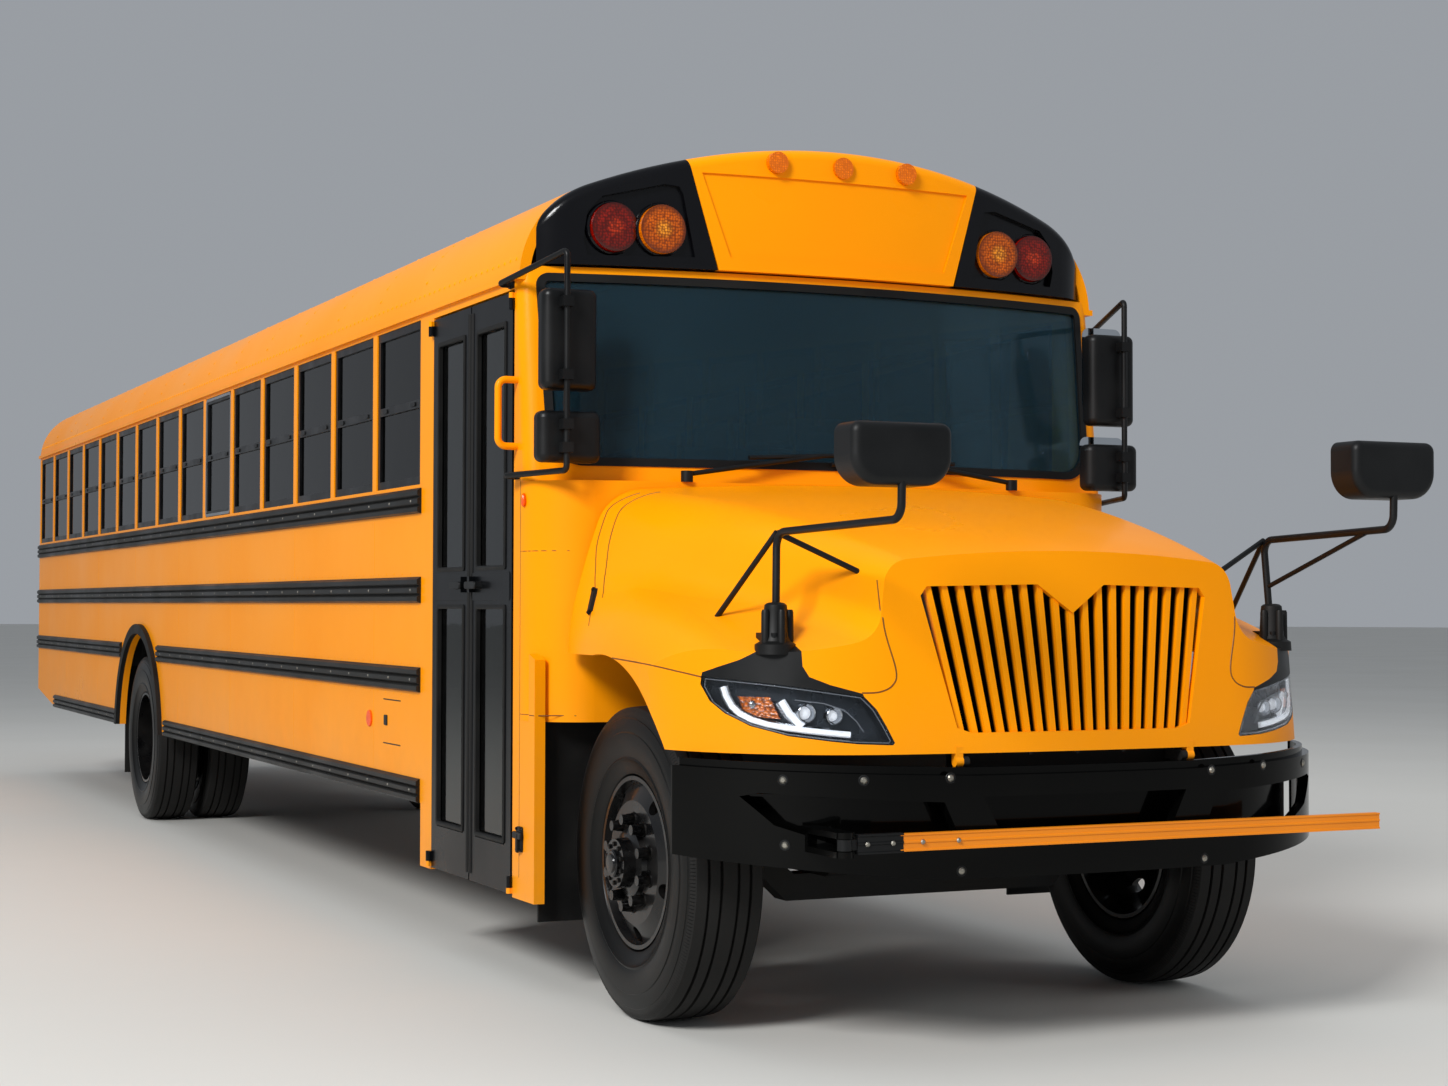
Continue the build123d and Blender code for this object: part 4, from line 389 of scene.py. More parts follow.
def join_rings(shape, rings, closed=False):
    """Faces all the way round between each ring of points and the next."""
    for near, far in zip(rings, rings[1:] + rings[:1] if closed else rings[1:]):
        for n in range(len(near)):
            m = (n + 1) % len(near)
            shape.faces.new((near[n], near[m], far[m], far[n]))


def bead(shape, line, width, height):
    """A low closed bead along (place, facing) points: a lap, a seam or a moulding, sunk by half its height."""
    rings = []
    for n, (place, facing) in enumerate(line):
        ahead = line[min(n + 1, len(line) - 1)][0] - line[max(n - 1, 0)][0]
        across = facing.cross(ahead).normalized() * width / 2
        low = place - facing * height / 2
        high = place + facing * height
        rings.append([shape.verts.new(spot) for spot in (low - across, high - across * 0.6, high + across * 0.6,
                                                         low + across)])
    join_rings(shape, rings)
    shape.faces.new(rings[0][::-1])
    shape.faces.new(rings[-1])


# Roof seams.
# Each roof sheet laps the next over a hoop, and a row of button rivets holds the lap down. Another
# row runs along both sides just above the drip rail, and one round the joint with the front cap.
body_front = -3.5475
body_rear = 6.8565
bay = 0.69
rivet_pitch = 0.065
edge_angle, hatch_angle = 68, 23
hatch_middles = (-1.2035, 3.6265)
roof_skin = feel("roof")
laps = bmesh.new()
rivet_runs = []
last_hoop = 15
for hoop in range(last_hoop + 1):
    seam_y = body_front + hoop * bay + (0.03 if hoop == 0 else -0.06 if hoop == last_hoop else 0)
    by_hatch = any(abs(seam_y - middle) < 0.40 for middle in hatch_middles)
    # a lap by a hatch is in two parts, one on each side of it
    spans = ((-edge_angle, -hatch_angle), (hatch_angle, edge_angle)) if by_hatch else ((-edge_angle, edge_angle),)
    for start, end in spans:
        steps = int((end - start) / 3.4)
        line = []
        for n in range(steps + 1):
            angle = math.radians(start + (end - start) * n / steps)
            out = Vector((math.sin(angle), 0, math.cos(angle)))
            line.append(touch(roof_skin, Vector((0, seam_y, 2.2)) + out * 3, -out))
        bead(laps, line, 0.034, 0.0012)
        rivet_runs.append([(place + facing * 0.0008, facing) for place, facing in line])
made("roof_laps", laps, enamel, "chassis")
rail_ends = (body_front - 1.1, body_rear - 0.08)
for sign in (-1, 1):
    rivet_runs.append([touch(roof_skin, (sign * 3, y, 2.628), (-sign, 0, 0)) for y in rail_ends])
fasteners("roof_rivets", rivet_runs, "chassis", enamel, 0.0085, 0.0032, spacing=rivet_pitch)

# Side sheets.
# The side sheets meet in narrow laps under the window posts, with small flush rivets along the sill
# and the header. Low on the door side are a round reflector, a small black drain and a flap's slots.
sheet_x = 1.219
side_skin = feel("side_panels")
band_skin = feel("window_bands")
side_laps = bmesh.new()
side_runs = []
for sign in (-1, 1):
    for post in range(1, 15, 2):
        lap_y = body_front + post * bay
        for z0, z1 in ((1.50, 1.73), (1.13, 1.366), (0.68, 1.005)):
            line = [touch(side_skin, (sign * 2, lap_y, z0 + (z1 - z0) * n / 3), (-sign, 0, 0)) for n in range(4)]
            if all(line) and all(abs(abs(place.x) - sheet_x) < 0.002 for place, _ in line):
                bead(side_laps, line, 0.018, 0.0007)
    # the rows on the side sheets stop for the wheel housing, and the header's row runs through
    ahead, behind, whole = (body_front + 0.04, 1.70), (3.27, body_rear - 0.08), (body_front + 0.04, body_rear - 0.08)
    for skin, z, spans in ((side_skin, 1.366, (ahead, behind)), (side_skin, 1.500, (ahead, behind)),
                           (side_skin, 1.132, (ahead, behind)), (side_skin, 1.004, (ahead, behind)),
                           (band_skin, 2.538, (whole,))):
        for span in spans:
            side_runs.append([touch(skin, (sign * 2, y, z), (-sign, 0, 0)) for y in span])
made("side_laps", side_laps, enamel, "chassis")
fasteners("side_rivets", side_runs, "chassis", enamel, 0.0055, 0.0014, spacing=0.115, sides=6)

# moulded acrylic reflector: deep orange, its back cut in square prisms, drawn 8 mm across
orange_lens = finish("moulded_orange_acrylic", "#FF5A00", "#C93C04", 0.03, (0.08, 0.2), 0.01, 0.0001,
                     Specular_IOR_Level=0.25, Coat_Weight=0.1)
prisms = add_node(orange_lens, "ShaderNodeTexVoronoi", {"Scale": 125.0}, distance="CHEBYCHEV")
overlay(orange_lens, prisms, 0.0015, 0.5)
# satin black powder coat: even, very fine texture, slightly greyed on its faces
powder_coat = finish("satin_black_powder_coat", "#0A0B0C", "#191A1B", 0.2, (0.34, 0.52), 0.0035, 0.0003, 0.6,
                     Specular_IOR_Level=0.25)


def rounded_plate(width, height, radius, steps=5):
    """The outline of a plate with rounded corners, as (across, up) pairs about its middle."""
    corners = ((1, 1), (-1, 1), (-1, -1), (1, -1))
    outline = []
    for turn, (x, z) in enumerate(corners):
        for n in range(steps + 1):
            angle = math.pi / 2 * (turn + n / steps)
            outline.append((x * (width / 2 - radius) + radius * math.cos(angle),
                            z * (height / 2 - radius) + radius * math.sin(angle)))
    return outline


def plate(shape, outline, place, across, thick, bevel=0.0, up=(0, 0, 1)):
    """A flat plate that stands thick proud of its place, its front edge drawn in by a bevel."""
    across = Vector(across).normalized()
    up = Vector(up).normalized()
    out = across.cross(up)
    middle = Vector((sum(u for u, v in outline), sum(v for u, v in outline), 0)) / len(outline)
    rings = []
    for lift, inset in ((0, 0), (thick - bevel, 0), (thick, bevel)) if bevel else ((0, 0), (thick, 0)):
        ring = []
        for u, v in outline:
            away = Vector((u - middle.x, v - middle.y, 0))
            share = 1 - inset / max(away.length, 1e-6)
            ring.append(shape.verts.new(Vector(place) + across * (middle.x + away.x * share)
                                        + up * (middle.y + away.y * share) + out * lift))
        rings.append(ring)
    shape.faces.new(rings[0][::-1])
    shape.faces.new(rings[-1])
    join_rings(shape, rings)


reflector_profile = ((-0.001, 0), (-0.001, 0.036), (0.005, 0.036), (0.008, 0.033), (0.008, 0.0))
for sign in (-1, 1):
    hand = "right" if sign < 0 else "left"
    disc = bmesh.new()
    turned(disc, reflector_profile, (sign * sheet_x, -2.812, 0.882), (sign, 0, 0), 28)
    made(f"side_reflector_{hand}", disc, orange_lens, "chassis")
drain = bmesh.new()
plate(drain, rounded_plate(0.044, 0.044, 0.006), (-1.2185, -3.054, 0.885), (0, -1, 0), 0.005, 0.002)
for slot_z in (0.973, 0.788):
    plate(drain, rounded_plate(0.25, 0.005, 0.002), (-1.2188, -3.14, slot_z), (0, -1, 0), 0.0008)
made("drain_and_flap", drain, powder_coat, "chassis")

# Rub rails.
# Rolled steel rails in black, with two flutes each, screwed on through the sheets every 0.3 m. They
# take the knocks, and stiffen the sides at the seats, the floor and the skirt.
rail_paint = finish("black_rail_enamel", "#0B0B0B", "#22211D", 0.5, (0.3, 0.5), 0.01, 0.0004, 0.6,
                    Specular_IOR_Level=0.25)
dress(rail_paint, "rub_rails")
zinc = finish("zinc_plated_screws", "#A9A59B", "#6F6A5E", 0.01, (0.3, 0.5), 0.002, 0.0001, 0.6, Metallic=1.0)
rail_skin = feel("rub_rails")
screw_pitch = 0.305
screw_spots = [[touch(rail_skin, (sign * 2, body_front + 0.1 + screw_pitch * n, z), (-sign, 0, 0))]
               for sign in (-1, 1) for z in (1.7955, 1.433, 1.0685, 0.621) for n in range(34)]
fasteners("rail_screws", screw_spots, "chassis", zinc, 0.0058, 0.0025, crown=0.55)
# moulded rubber trims round the rear wheel arches, and flaps behind the wheels
trim_rubber = finish("moulded_black_rubber", "#0C0C0C", "#1F1E1C", 0.2, (0.5, 0.72), 0.004, 0.0004, 0.6,
                     Specular_IOR_Level=0.25)
dress(trim_rubber, "arch_trims", "mud_flaps")

# Side windows.
# Each opening has a black anodised frame with a fixed lower pane and a drop sash above, held by two
# spring catches on its bar. One window on each side is the push-out exit, in a bright frame.
sash_metal = finish("black_anodised_aluminium", "#101113", "#26282B", 0.15, (0.3, 0.46), 0.003, 0.0002, Metallic=0.6)
dress(sash_metal, "window_sashes")
# 28 per cent privacy glass, dark grey-green, with a slight roller wave
tinted_glass = finish("tinted_privacy_glass", "#101415", "#0A0D0E", 0.4, (0.02, 0.05), 0.25, 0.0008,
                      Transmission_Weight=1.0, IOR=1.2)
dress(tinted_glass, "window_glass", "rear_door_glass")
bright_metal = finish("mill_finish_aluminium", "#B9BCC0", "#8F9296", 0.2, (0.22, 0.42), 0.004, 0.0002, Metallic=1.0)
windows = 15
exit_window = 5
catches = bmesh.new()
exit_frames = bmesh.new()
for sign in (-1, 1):
    for window in range(windows):
        middle = body_front + (window + 0.5) * bay
        for along in (-0.2, 0.2):
            plate(catches, rounded_plate(0.06, 0.018, 0.006), (sign * 1.2125, middle + along, 2.195), (0, sign, 0),
                  0.006, 0.002)
        if window == exit_window:
            outer, inner = rounded_plate(0.622, 0.662, 0.03), rounded_plate(0.592, 0.632, 0.02)
            rings = []
            for outline, lift in ((outer, 0.0), (outer, 0.006), (inner, 0.006), (inner, 0.0)):
                rings.append([exit_frames.verts.new((sign * (1.213 + lift), middle + sign * u, 2.197 + v))
                              for u, v in outline])
            join_rings(exit_frames, rings, closed=True)
made("sash_catches", catches, powder_coat, "chassis")
made("exit_window_frames", exit_frames, bright_metal, "chassis")

# Entrance doors.
# Two aluminium leaves in satin black, glazed above and below a handle band, closing on soft rubber
# noses. Beads hold the glass, and a spring latch at the sill holds the leaves against rattle.
door_black = finish("satin_black_door_enamel", "#060709", "#0E1013", 0.5, (0.26, 0.4), 0.006, 0.0003, 0.6,
                    Coat_Weight=0.1, Specular_IOR_Level=0.12)
dress(door_black, "door_front", "door_rear")
# laminated door glass: clear with a slight green cast
door_glass = finish("laminated_door_glass", "#46524E", "#3A4642", 0.4, (0.015, 0.04), 0.3, 0.0008,
                    Transmission_Weight=1.0, IOR=1.35)
dress(door_glass, "door_glass_front", "door_glass_rear")
leaf_x = -1.2218
handle_z = 1.447
for leaf, y0, y1, meets_y in (("front", -4.6435, -4.1805, -4.1805), ("rear", -4.1685, -3.7055, -4.1685)):
    middle = (y0 + y1) / 2
    beads = bmesh.new()
    for z0, z1 in ((0.512, 1.368), (1.508, 2.404)):
        rings = []
        for inset, lift in ((0.0, 0.0), (0.0, 0.004), (0.011, 0.007), (0.017, 0.004), (0.017, -0.012)):
            ring = rounded_plate(y1 - y0 - 2 * 0.068 + 0.012 - 2 * inset, z1 - z0 + 0.012 - 2 * inset, 0.012)
            rings.append([beads.verts.new((leaf_x - lift, middle - u, (z0 + z1) / 2 + v)) for u, v in ring])
        join_rings(beads, rings, closed=True)
    made(f"glazing_beads_{leaf}", beads, trim_rubber, f"door_leaf_{leaf}")
    band = bmesh.new()
    plate(band, rounded_plate(y1 - y0 - 0.03, 0.104, 0.012), (leaf_x, middle, 1.4415), (0, -1, 0), 0.003, 0.0015)
    made(f"handle_band_{leaf}", band, door_black, f"door_leaf_{leaf}")
    nose = bmesh.new()
    toward = 1 if leaf == "front" else -1
    line = [(Vector((-1.2225, meets_y - toward * 0.012, z)), Vector((-1, 0, 0))) for z in (0.36, 1.0, 1.7, 2.48)]
    bead(nose, line, 0.020, 0.005)
    made(f"door_nose_{leaf}", nose, trim_rubber, f"door_leaf_{leaf}")
    # a level pull on the leaf's grip block, reaching back from the nose
    pull = bmesh.new()
    plate(pull, rounded_plate(0.125, 0.028, 0.012), (-1.2485, meets_y - toward * 0.085, handle_z), (0, -1, 0), 0.010,
          0.004)
    turned(pull, ((0.0, 0.0), (0.0, 0.016), (0.028, 0.013), (0.029, 0.0)),
           (-1.2215, meets_y - toward * 0.130, handle_z), (-1, 0, 0), 16)
    made(f"door_pull_{leaf}", pull, powder_coat, f"door_leaf_{leaf}")
latch_y, latch_z = -4.745, 0.538
latch = bmesh.new()
plate(latch, rounded_plate(0.055, 0.09, 0.01), (-1.2185, latch_y, latch_z), (0, -1, 0), 0.010, 0.003)
plate(latch, rounded_plate(0.085, 0.026, 0.01), (-1.2285, -4.742, 0.552), (0, -1, 0), 0.008, 0.003)
plate(latch, rounded_plate(0.016, 0.075, 0.006), (-1.2285, latch_y, 0.528), (0, -1, 0), 0.009, 0.003)
made("door_latch", latch, powder_coat, "chassis")
latch_spots = [[((-1.228, latch_y + u, latch_z + v), (-1, 0, 0))] for v in (0.037, -0.037) for u in (-0.02, 0.02)]
fasteners("latch_bolts", latch_spots, "chassis", nut_steel, 0.006, 0.004, crown=0.9, sides=6)

# Cowl.
# The cowl joins the body to the hood: a formed sheet round the driver's feet, lapped under the side
# sheet with a row of rivets, and closed by two thin joints, drawn as darker beads of painted shade. A small lamp marks
# its side.


def lay(tree, corners, steps):
    """Points along a smooth curve through the corners, each moved on to the nearest surface."""
    line = []
    spots = [Vector(corner) for corner in (corners[0], *corners, corners[-1])]
    for before, start, end, after in zip(spots, spots[1:], spots[2:], spots[3:]):
        for n in range(steps + (after is spots[-1])):
            t = n / steps
            spot = 0.5 * (2 * start + (end - before) * t + (2 * before - 5 * start + 4 * end - after) * t * t
                          + (3 * start - before - 3 * end + after) * t ** 3)
            place, facing, _, _ = tree.find_nearest(spot)
            if facing.dot(place - Vector((0, place.y + 1.5, 1.0))) < 0:
                facing = -facing
            line.append((place, facing))
    return line


# joint lines: a thin, patchy line of darker yellow, painted shade for the gap in each joint
joint_shade = finish("joint_lines_painted_shade", "#7A4300", "#4A2A05", 0.08, (0.45, 0.65), 0.01, 0.0003, 0.7)
cowl_skin = feel("cowl")
joints = bmesh.new()
cowl_runs = []
lap_y = -4.728
for sign in (-1, 1):
    upright = [touch(cowl_skin, (sign * 2, lap_y, z), (-sign, 0, 0)) for z in (0.40, 0.75, 1.1, 1.45, 1.84)]
    upright = [hit for hit in upright if hit]
    if len(upright) > 1:
        bead(joints, upright, 0.004, 0.0006)
        cowl_runs.append([(place + Vector((0, 0.016, 0)), facing) for place, facing in upright])
    for z, end_y in ((1.565, -4.98), (0.983, -4.93)):
        line = [touch(cowl_skin, (sign * 2, lap_y + (end_y - lap_y) * n / 8, z), (-sign, 0, 0)) for n in range(9)]
        line = [hit for hit in line if hit and abs(hit[0].x) > 1.0]
        if len(line) > 1:
            bead(joints, line, 0.004, 0.0006)
    marker = bmesh.new()
    turns = [2 * math.pi * n / 20 for n in range(20)]
    drop = [(0.011 * math.cos(t) * (1 - 0.35 * math.sin(t)), 0.024 * math.sin(t)) for t in turns]
    plate(marker, drop, (sign * 1.2165, -4.763, 1.748), (0, sign, 0), 0.010, 0.004)
    made(f"cowl_lamp_{'right' if sign < 0 else 'left'}", marker, orange_lens, "chassis")
# the joints' darker yellow is painted shade for their gaps
made("cowl_joints", joints, joint_shade, "chassis")
fasteners("cowl_rivets", cowl_runs, "chassis", enamel, 0.0055, 0.0016, spacing=0.06, sides=6)

# Windshield.
# One curved laminated pane, tinted blue-green, bedded in a black extruded rubber gasket. Two black
# wiper arms rest on its foot.
screen_glass = finish("tinted_laminated_glass", "#5A8FA8", "#4C7F98", 0.5, (0.01, 0.03), 0.3, 0.0006,
                      Transmission_Weight=0.93, IOR=1.3, Alpha=0.88)
dress(screen_glass, "windshield")
# extruded EPDM rubber: dull black, faintly bloomed
epdm = finish("extruded_epdm", "#0B0B0B", "#1B1B1A", 0.3, (0.42, 0.6), 0.003, 0.0002, 0.6, Specular_IOR_Level=0.25)
dress(epdm, "screen_gasket")
dress(powder_coat, "wipers")

# Front cap and its lamps.
# A pressed steel cap carries two glossy black pods with the red and amber warning lamps, and three
# oval markers in its crown. Each warning lamp has a moulded acrylic lens in a screwed black ring.
pod_black = finish("gloss_black_pod_enamel", "#030306", "#08090C", 0.6, (0.16, 0.32), 0.01, 0.0002, 0.6,
                   Coat_Weight=0.2, Coat_Roughness=0.06, Specular_IOR_Level=0.2)
dress(pod_black, "lamp_pods")
# moulded acrylic lenses: a field of small lens dots 9 mm apart over a foil reflector, uneven in colour, with painted
# shade darkening each dot towards its rim
for lamps, colour, deep in (("amber", "#FF8400", "#B85200"), ("red", "#A81000", "#5A0500")):
    lens = finish(f"moulded_{lamps}_acrylic", colour, deep, 0.05, (0.06, 0.16), 0.012, 0.0001, 0.6,
                  Emission_Color=colour, Emission_Strength=0.08, Specular_IOR_Level=0.3, Coat_Weight=0.25,
                  Coat_Roughness=0.05)
    dots = add_node(lens, "ShaderNodeTexVoronoi", {"Scale": 110.0, "Randomness": 0.35})
    dot_rim_painted_shade = add_node(lens, "ShaderNodeMapRange", {"Value": dots, "From Min": 0.2, "From Max": 0.55, "To Max": 0.75})
    # painted shade round the rim of each sunk dot
    overlay(lens, dots, 0.003, 0.9, sunk=True, share=dot_rim_painted_shade, colour=deep)
    dress(lens, f"{lamps}_lamps")
lamp_z = 2.745
cap_bow = 9.26
lamp_rings = bmesh.new()
ring_screws = []
ring_profile = ((-0.010, 0.088), (-0.010, 0.101), (0.010, 0.101), (0.016, 0.097), (0.018, 0.092), (0.014, 0.0885))
for x in (0.710, 0.888, -0.710, -0.888):
    front_y = -4.8815 + x * x / cap_bow + 0.030
    for y, facing in ((front_y, -1), (body_rear, 1)):
        lamp_x = x if facing < 0 else math.copysign(0.640 if abs(x) < 0.8 else 0.840, x)
        turned(lamp_rings, ring_profile, (lamp_x, y, lamp_z), (0, facing, 0), 40, closed=True)
        for n in range(8):
            angle = math.radians(22.5 + 45 * n)
            spot = (lamp_x + 0.096 * math.sin(angle), y + facing * 0.0165, lamp_z + 0.096 * math.cos(angle))
            ring_screws.append([(spot, (0, facing, 0))])
made("warning_lamp_rings", lamp_rings, pod_black, "chassis")
# the lens domes: a painted highlight over the reflector's middle, painted shade towards the rim, and dots moulded
# inside with painted shade round each dot
for name, dome_painted_highlight, body_colour, dark, places in (
    ("amber", "#FFA528", "#D96400", "#5E2400", ((0.710, -1), (-0.710, -1), (0.640, 1), (-0.640, 1))),
    ("red", "#C63A10", "#8A1402", "#380500", ((0.888, -1), (-0.888, -1), (0.840, 1), (-0.840, 1))),
):
    domes = bmesh.new()
    share = domes.verts.layers.float.new("share")
    for x, facing in places:
        lens_y = -4.8815 + x * x / cap_bow - 0.008 if facing < 0 else 6.8825
        rings = turned(domes, ((-0.004, 0), (-0.004, 0.0885), (0.0015, 0.0885), (0.003, 0.085), (0.0045, 0.070),
                               (0.006, 0.050), (0.0068, 0.025), (0.007, 0)), (x, lens_y, lamp_z), (0, facing, 0), 40)
        for ring, out in zip(rings, (1, 1, 1, 0.96, 0.79, 0.56, 0.28, 0)):
            for vert in ring:
                vert[share] = out
    dome_lens = finish(f"moulded_{name}_dome", body_colour, dark, 0.05, (0.06, 0.16), 0.012, 0.0001, 0.6,
                       Specular_IOR_Level=0.35, Coat_Weight=0.3, Coat_Roughness=0.04)
    out = add_node(dome_lens, "ShaderNodeAttribute", attribute_name="share").outputs["Fac"]
    # painted highlight in the middle of each dome, painted shade at its edge and round its dots
    middle = add_node(dome_lens, "ShaderNodeMapRange", {"Value": out, "From Min": 0.45, "From Max": 0.1})
    edge = add_node(dome_lens, "ShaderNodeMapRange", {"Value": out, "From Min": 0.72, "From Max": 1.0})
    dots = add_node(dome_lens, "ShaderNodeTexVoronoi", {"Scale": 95.0, "Randomness": 0.5})
    dome_dot_painted_shade = add_node(dome_lens, "ShaderNodeMapRange", {"Value": dots, "From Min": 0.25, "From Max": 0.6,
                                                         "To Max": 0.8})
    overlay(dome_lens, dots, 0.002, sunk=True, share=middle, colour=dome_painted_highlight)
    overlay(dome_lens, share=edge, colour=dark)
    overlay(dome_lens, share=dome_dot_painted_shade, colour=dark)
    made(f"{name}_lens_domes", domes, dome_lens, "chassis")
fasteners("lamp_ring_screws", ring_screws, "chassis", nut_steel, 0.0042, 0.002, crown=0.6)

# Hood.
# A tilting one-piece hood, moulded in fibreglass and sprayed with the body's enamel. It has a joint
# line round its nose, a step where it meets the cowl, and a rubber latch strap on each side.
hood_skin = feel("hood_shell")
hood_lines = bmesh.new()
# columns: points down each line, on the left side; the right side mirrors them
hood_seams = (
    ((0.651, -6.357, 1.451), (0.65, -6.40, 1.309), (0.619, -6.418, 1.179), (0.631, -6.421, 1.134),
     (0.673, -6.416, 1.113), (0.727, -6.402, 1.11)),
    ((1.182, -5.519, 1.2), (1.181, -5.836, 1.185), (1.148, -5.998, 1.167), (1.111, -6.082, 1.153)),
    ((0.887, -5.045, 1.768), (0.972, -4.992, 1.723), (1.003, -4.994, 1.673), (1.027, -4.998, 1.602),
     (1.042, -5.018, 1.545), (1.068, -5.076, 1.46), (1.101, -5.15, 1.391), (1.140, -5.22, 1.30)),
    ((0.840, -5.115, 1.770), (0.950, -5.060, 1.722), (0.990, -5.060, 1.665), (1.018, -5.068, 1.60),
     (1.034, -5.090, 1.54), (1.058, -5.140, 1.46), (1.085, -5.21, 1.391)),
)
# each joint line is a low bead in darker yellow: painted shade for the gap in the joint
for sign in (-1, 1):
    for seam in hood_seams:
        bead(hood_lines, lay(hood_skin, [(sign * x, y, z) for x, y, z in seam], 6), 0.0055, 0.0012)
made("hood_joint_lines", hood_lines, joint_shade, "hood")
straps = bmesh.new()
strap_ends = []
for sign in (-1, 1):
    line = lay(hood_skin, [(sign * 1.085, -5.115, 1.425), (sign * 1.125, -5.185, 1.345)], 5)
    bead(straps, [(place + facing * 0.002, facing) for place, facing in line], 0.030, 0.009)
    strap_ends += [[(place + facing * 0.008, facing)] for place, facing in (line[0], line[-1])]
made("hood_latch_straps", straps, trim_rubber, "hood")
fasteners("latch_strap_bolts", strap_ends, "hood", nut_steel, 0.009, 0.006, crown=0.8, sides=12)
pivots = []
for x in (-0.17, -0.001, 0.17):
    place, facing, _, _ = hood_skin.find_nearest(Vector((x, -6.43, 0.899)))
    pivots.append([(place + Vector((0, -0.001, 0)), (0, -1, 0))])
fasteners("hood_edge_bolts", pivots, "hood", powder_coat, 0.011, 0.007, crown=0.9, sides=6)

# Grille.
# Upright slats in the body's yellow stand in front of a dark woven insect screen, which is framed
# behind the nose. The radiator core is behind it.
# the nose leans back as it rises, and bows back to both sides
nose_y, nose_z = -6.4785, 0.984
nose_lean = 0.105
nose_bow = 9.6
# yellow slats, turned black 20 to 34 mm behind the nose: painted shade in the gaps between the slats
slat_paint = finish("yellow_slats_painted_shade", "#FF9C00", "#FA9200", 1.1, (0.26, 0.42), 0.012, 0.00025, 0.7,
                    Specular_IOR_Level=0.1, Coat_Weight=0.05)
place = slat_paint.node_tree.nodes["Texture Coordinate"].outputs["Object"]
slat_x, slat_y, slat_z = add_node(slat_paint, "ShaderNodeSeparateXYZ", {"Vector": place}).outputs
bow = add_node(slat_paint, "ShaderNodeMath", {0: slat_x, 1: slat_x}, operation="MULTIPLY")
bow_depth = add_node(slat_paint, "ShaderNodeMath", {0: bow, 1: -1 / nose_bow, 2: slat_y}, operation="MULTIPLY_ADD")
behind = add_node(slat_paint, "ShaderNodeMath", {0: slat_z, 1: -nose_lean, 2: bow_depth}, operation="MULTIPLY_ADD")
slat_front = nose_y - nose_lean * nose_z
# painted shade: the slats' sides go black where the gaps between them lie in shade
gap_painted_shade = add_node(slat_paint, "ShaderNodeMapRange", {"Value": behind, "From Min": slat_front + 0.020,
                                                   "From Max": slat_front + 0.034})
overlay(slat_paint, share=gap_painted_shade, colour="#0A0A0A")
dress(slat_paint, "grille")
insect_mesh = finish("woven_wire_screen", "#040404", "#0E0D0B", 0.1, (0.5, 0.7), 0.01, 0.0002, 0.6)
# wires 5 mm apart, drawn twice as coarse as the real screen so that they show
for direction in ("X", "Z"):
    wires = add_node(insect_mesh, "ShaderNodeTexWave", {"Scale": 62.0}, bands_direction=direction)
    overlay(insect_mesh, wires.outputs["Fac"], 0.0015)
screen = bmesh.new()
columns, rows = 24, 12
screen_foot = 0.965
levels = []
for layer in (0.0, 0.003):
    levels.append([[screen.verts.new((x, nose_y + nose_lean * (z - nose_z) + x * x / nose_bow + 0.079 + layer, z))
                    for x in [(0.425 + 0.18 * (z - screen_foot)) * (2 * n / columns - 1) for n in range(columns + 1)]]
                   for z in [screen_foot + 0.485 * row / rows for row in range(rows + 1)]])
for row in range(rows):
    for n in range(columns):
        for level in levels:
            screen.faces.new((level[row][n], level[row][n + 1], level[row + 1][n + 1], level[row + 1][n]))
front, back = levels
edge = ([(0, n) for n in range(columns)] + [(row, columns) for row in range(rows)]
        + [(rows, n) for n in range(columns, 0, -1)] + [(row, 0) for row in range(rows, 0, -1)])
for (r0, n0), (r1, n1) in zip(edge, edge[1:] + edge[:1]):
    screen.faces.new((front[r0][n0], front[r1][n1], back[r1][n1], back[r0][n0]))
made("grille_insect_screen", screen, insect_mesh, "hood")

# Headlamps.
# Each lamp is a black moulded bowl behind a clear polycarbonate lens that follows the nose: a lit
# white light guide along its foot and outer end, two projectors, an amber turn lamp and bright trims.
lens_clear = finish("clear_polycarbonate", "#F4F7FA", "#E9EEF2", 0.4, (0.015, 0.035), 0.25, 0.0002, 0.4,
                    Transmission_Weight=1.0, IOR=1.49, Alpha=0.3)
bowl_grey = finish("metallised_grey_bowl", "#3A4149", "#20252B", 0.05, (0.2, 0.4), 0.01, 0.0004, 0.7, Metallic=0.7)
chrome = finish("vacuum_metallised_plastic", "#B4B8BD", "#8A8F97", 0.03, (0.1, 0.22), 0.01, 0.0001, Metallic=1.0)
light_guide = finish("lit_light_guide", "#DCE1E6", "#B8C2CE", 0.01, (0.2, 0.4), 0.004, 0.0003, 0.6,
                     Emission_Color="#F2F6FF", Emission_Strength=0.45)
turn_amber = finish("moulded_turn_amber", "#D9700F", "#B84A00", 0.012, (0.12, 0.3), 0.006, 0.0002, 0.8,
                    Emission_Color="#FF7A10", Emission_Strength=0.06)
# the flutes are moulded in, and painted shade darkens the lens between their faces
flutes = add_node(turn_amber, "ShaderNodeTexVoronoi", {"Scale": 120.0}, distance="CHEBYCHEV")
painted_flute_shade = add_node(turn_amber, "ShaderNodeMapRange", {"Value": flutes, "From Min": 0.28, "From Max": 0.5,
                                                     "To Max": 0.9})
overlay(turn_amber, flutes, 0.003, share=painted_flute_shade, colour="#4A2208")
lamp_skin = feel("headlamps")


def front_of(node):
    """A merged copy of a CAD node, and those of its faces that look forwards."""
    shape = bmesh.new()
    shape.from_mesh(cad[node].data)
    bmesh.ops.remove_doubles(shape, verts=shape.verts, dist=2e-5)
    bmesh.ops.recalc_face_normals(shape, faces=shape.faces)
    return shape, [face for face in shape.faces if face.normal.y < -0.12]


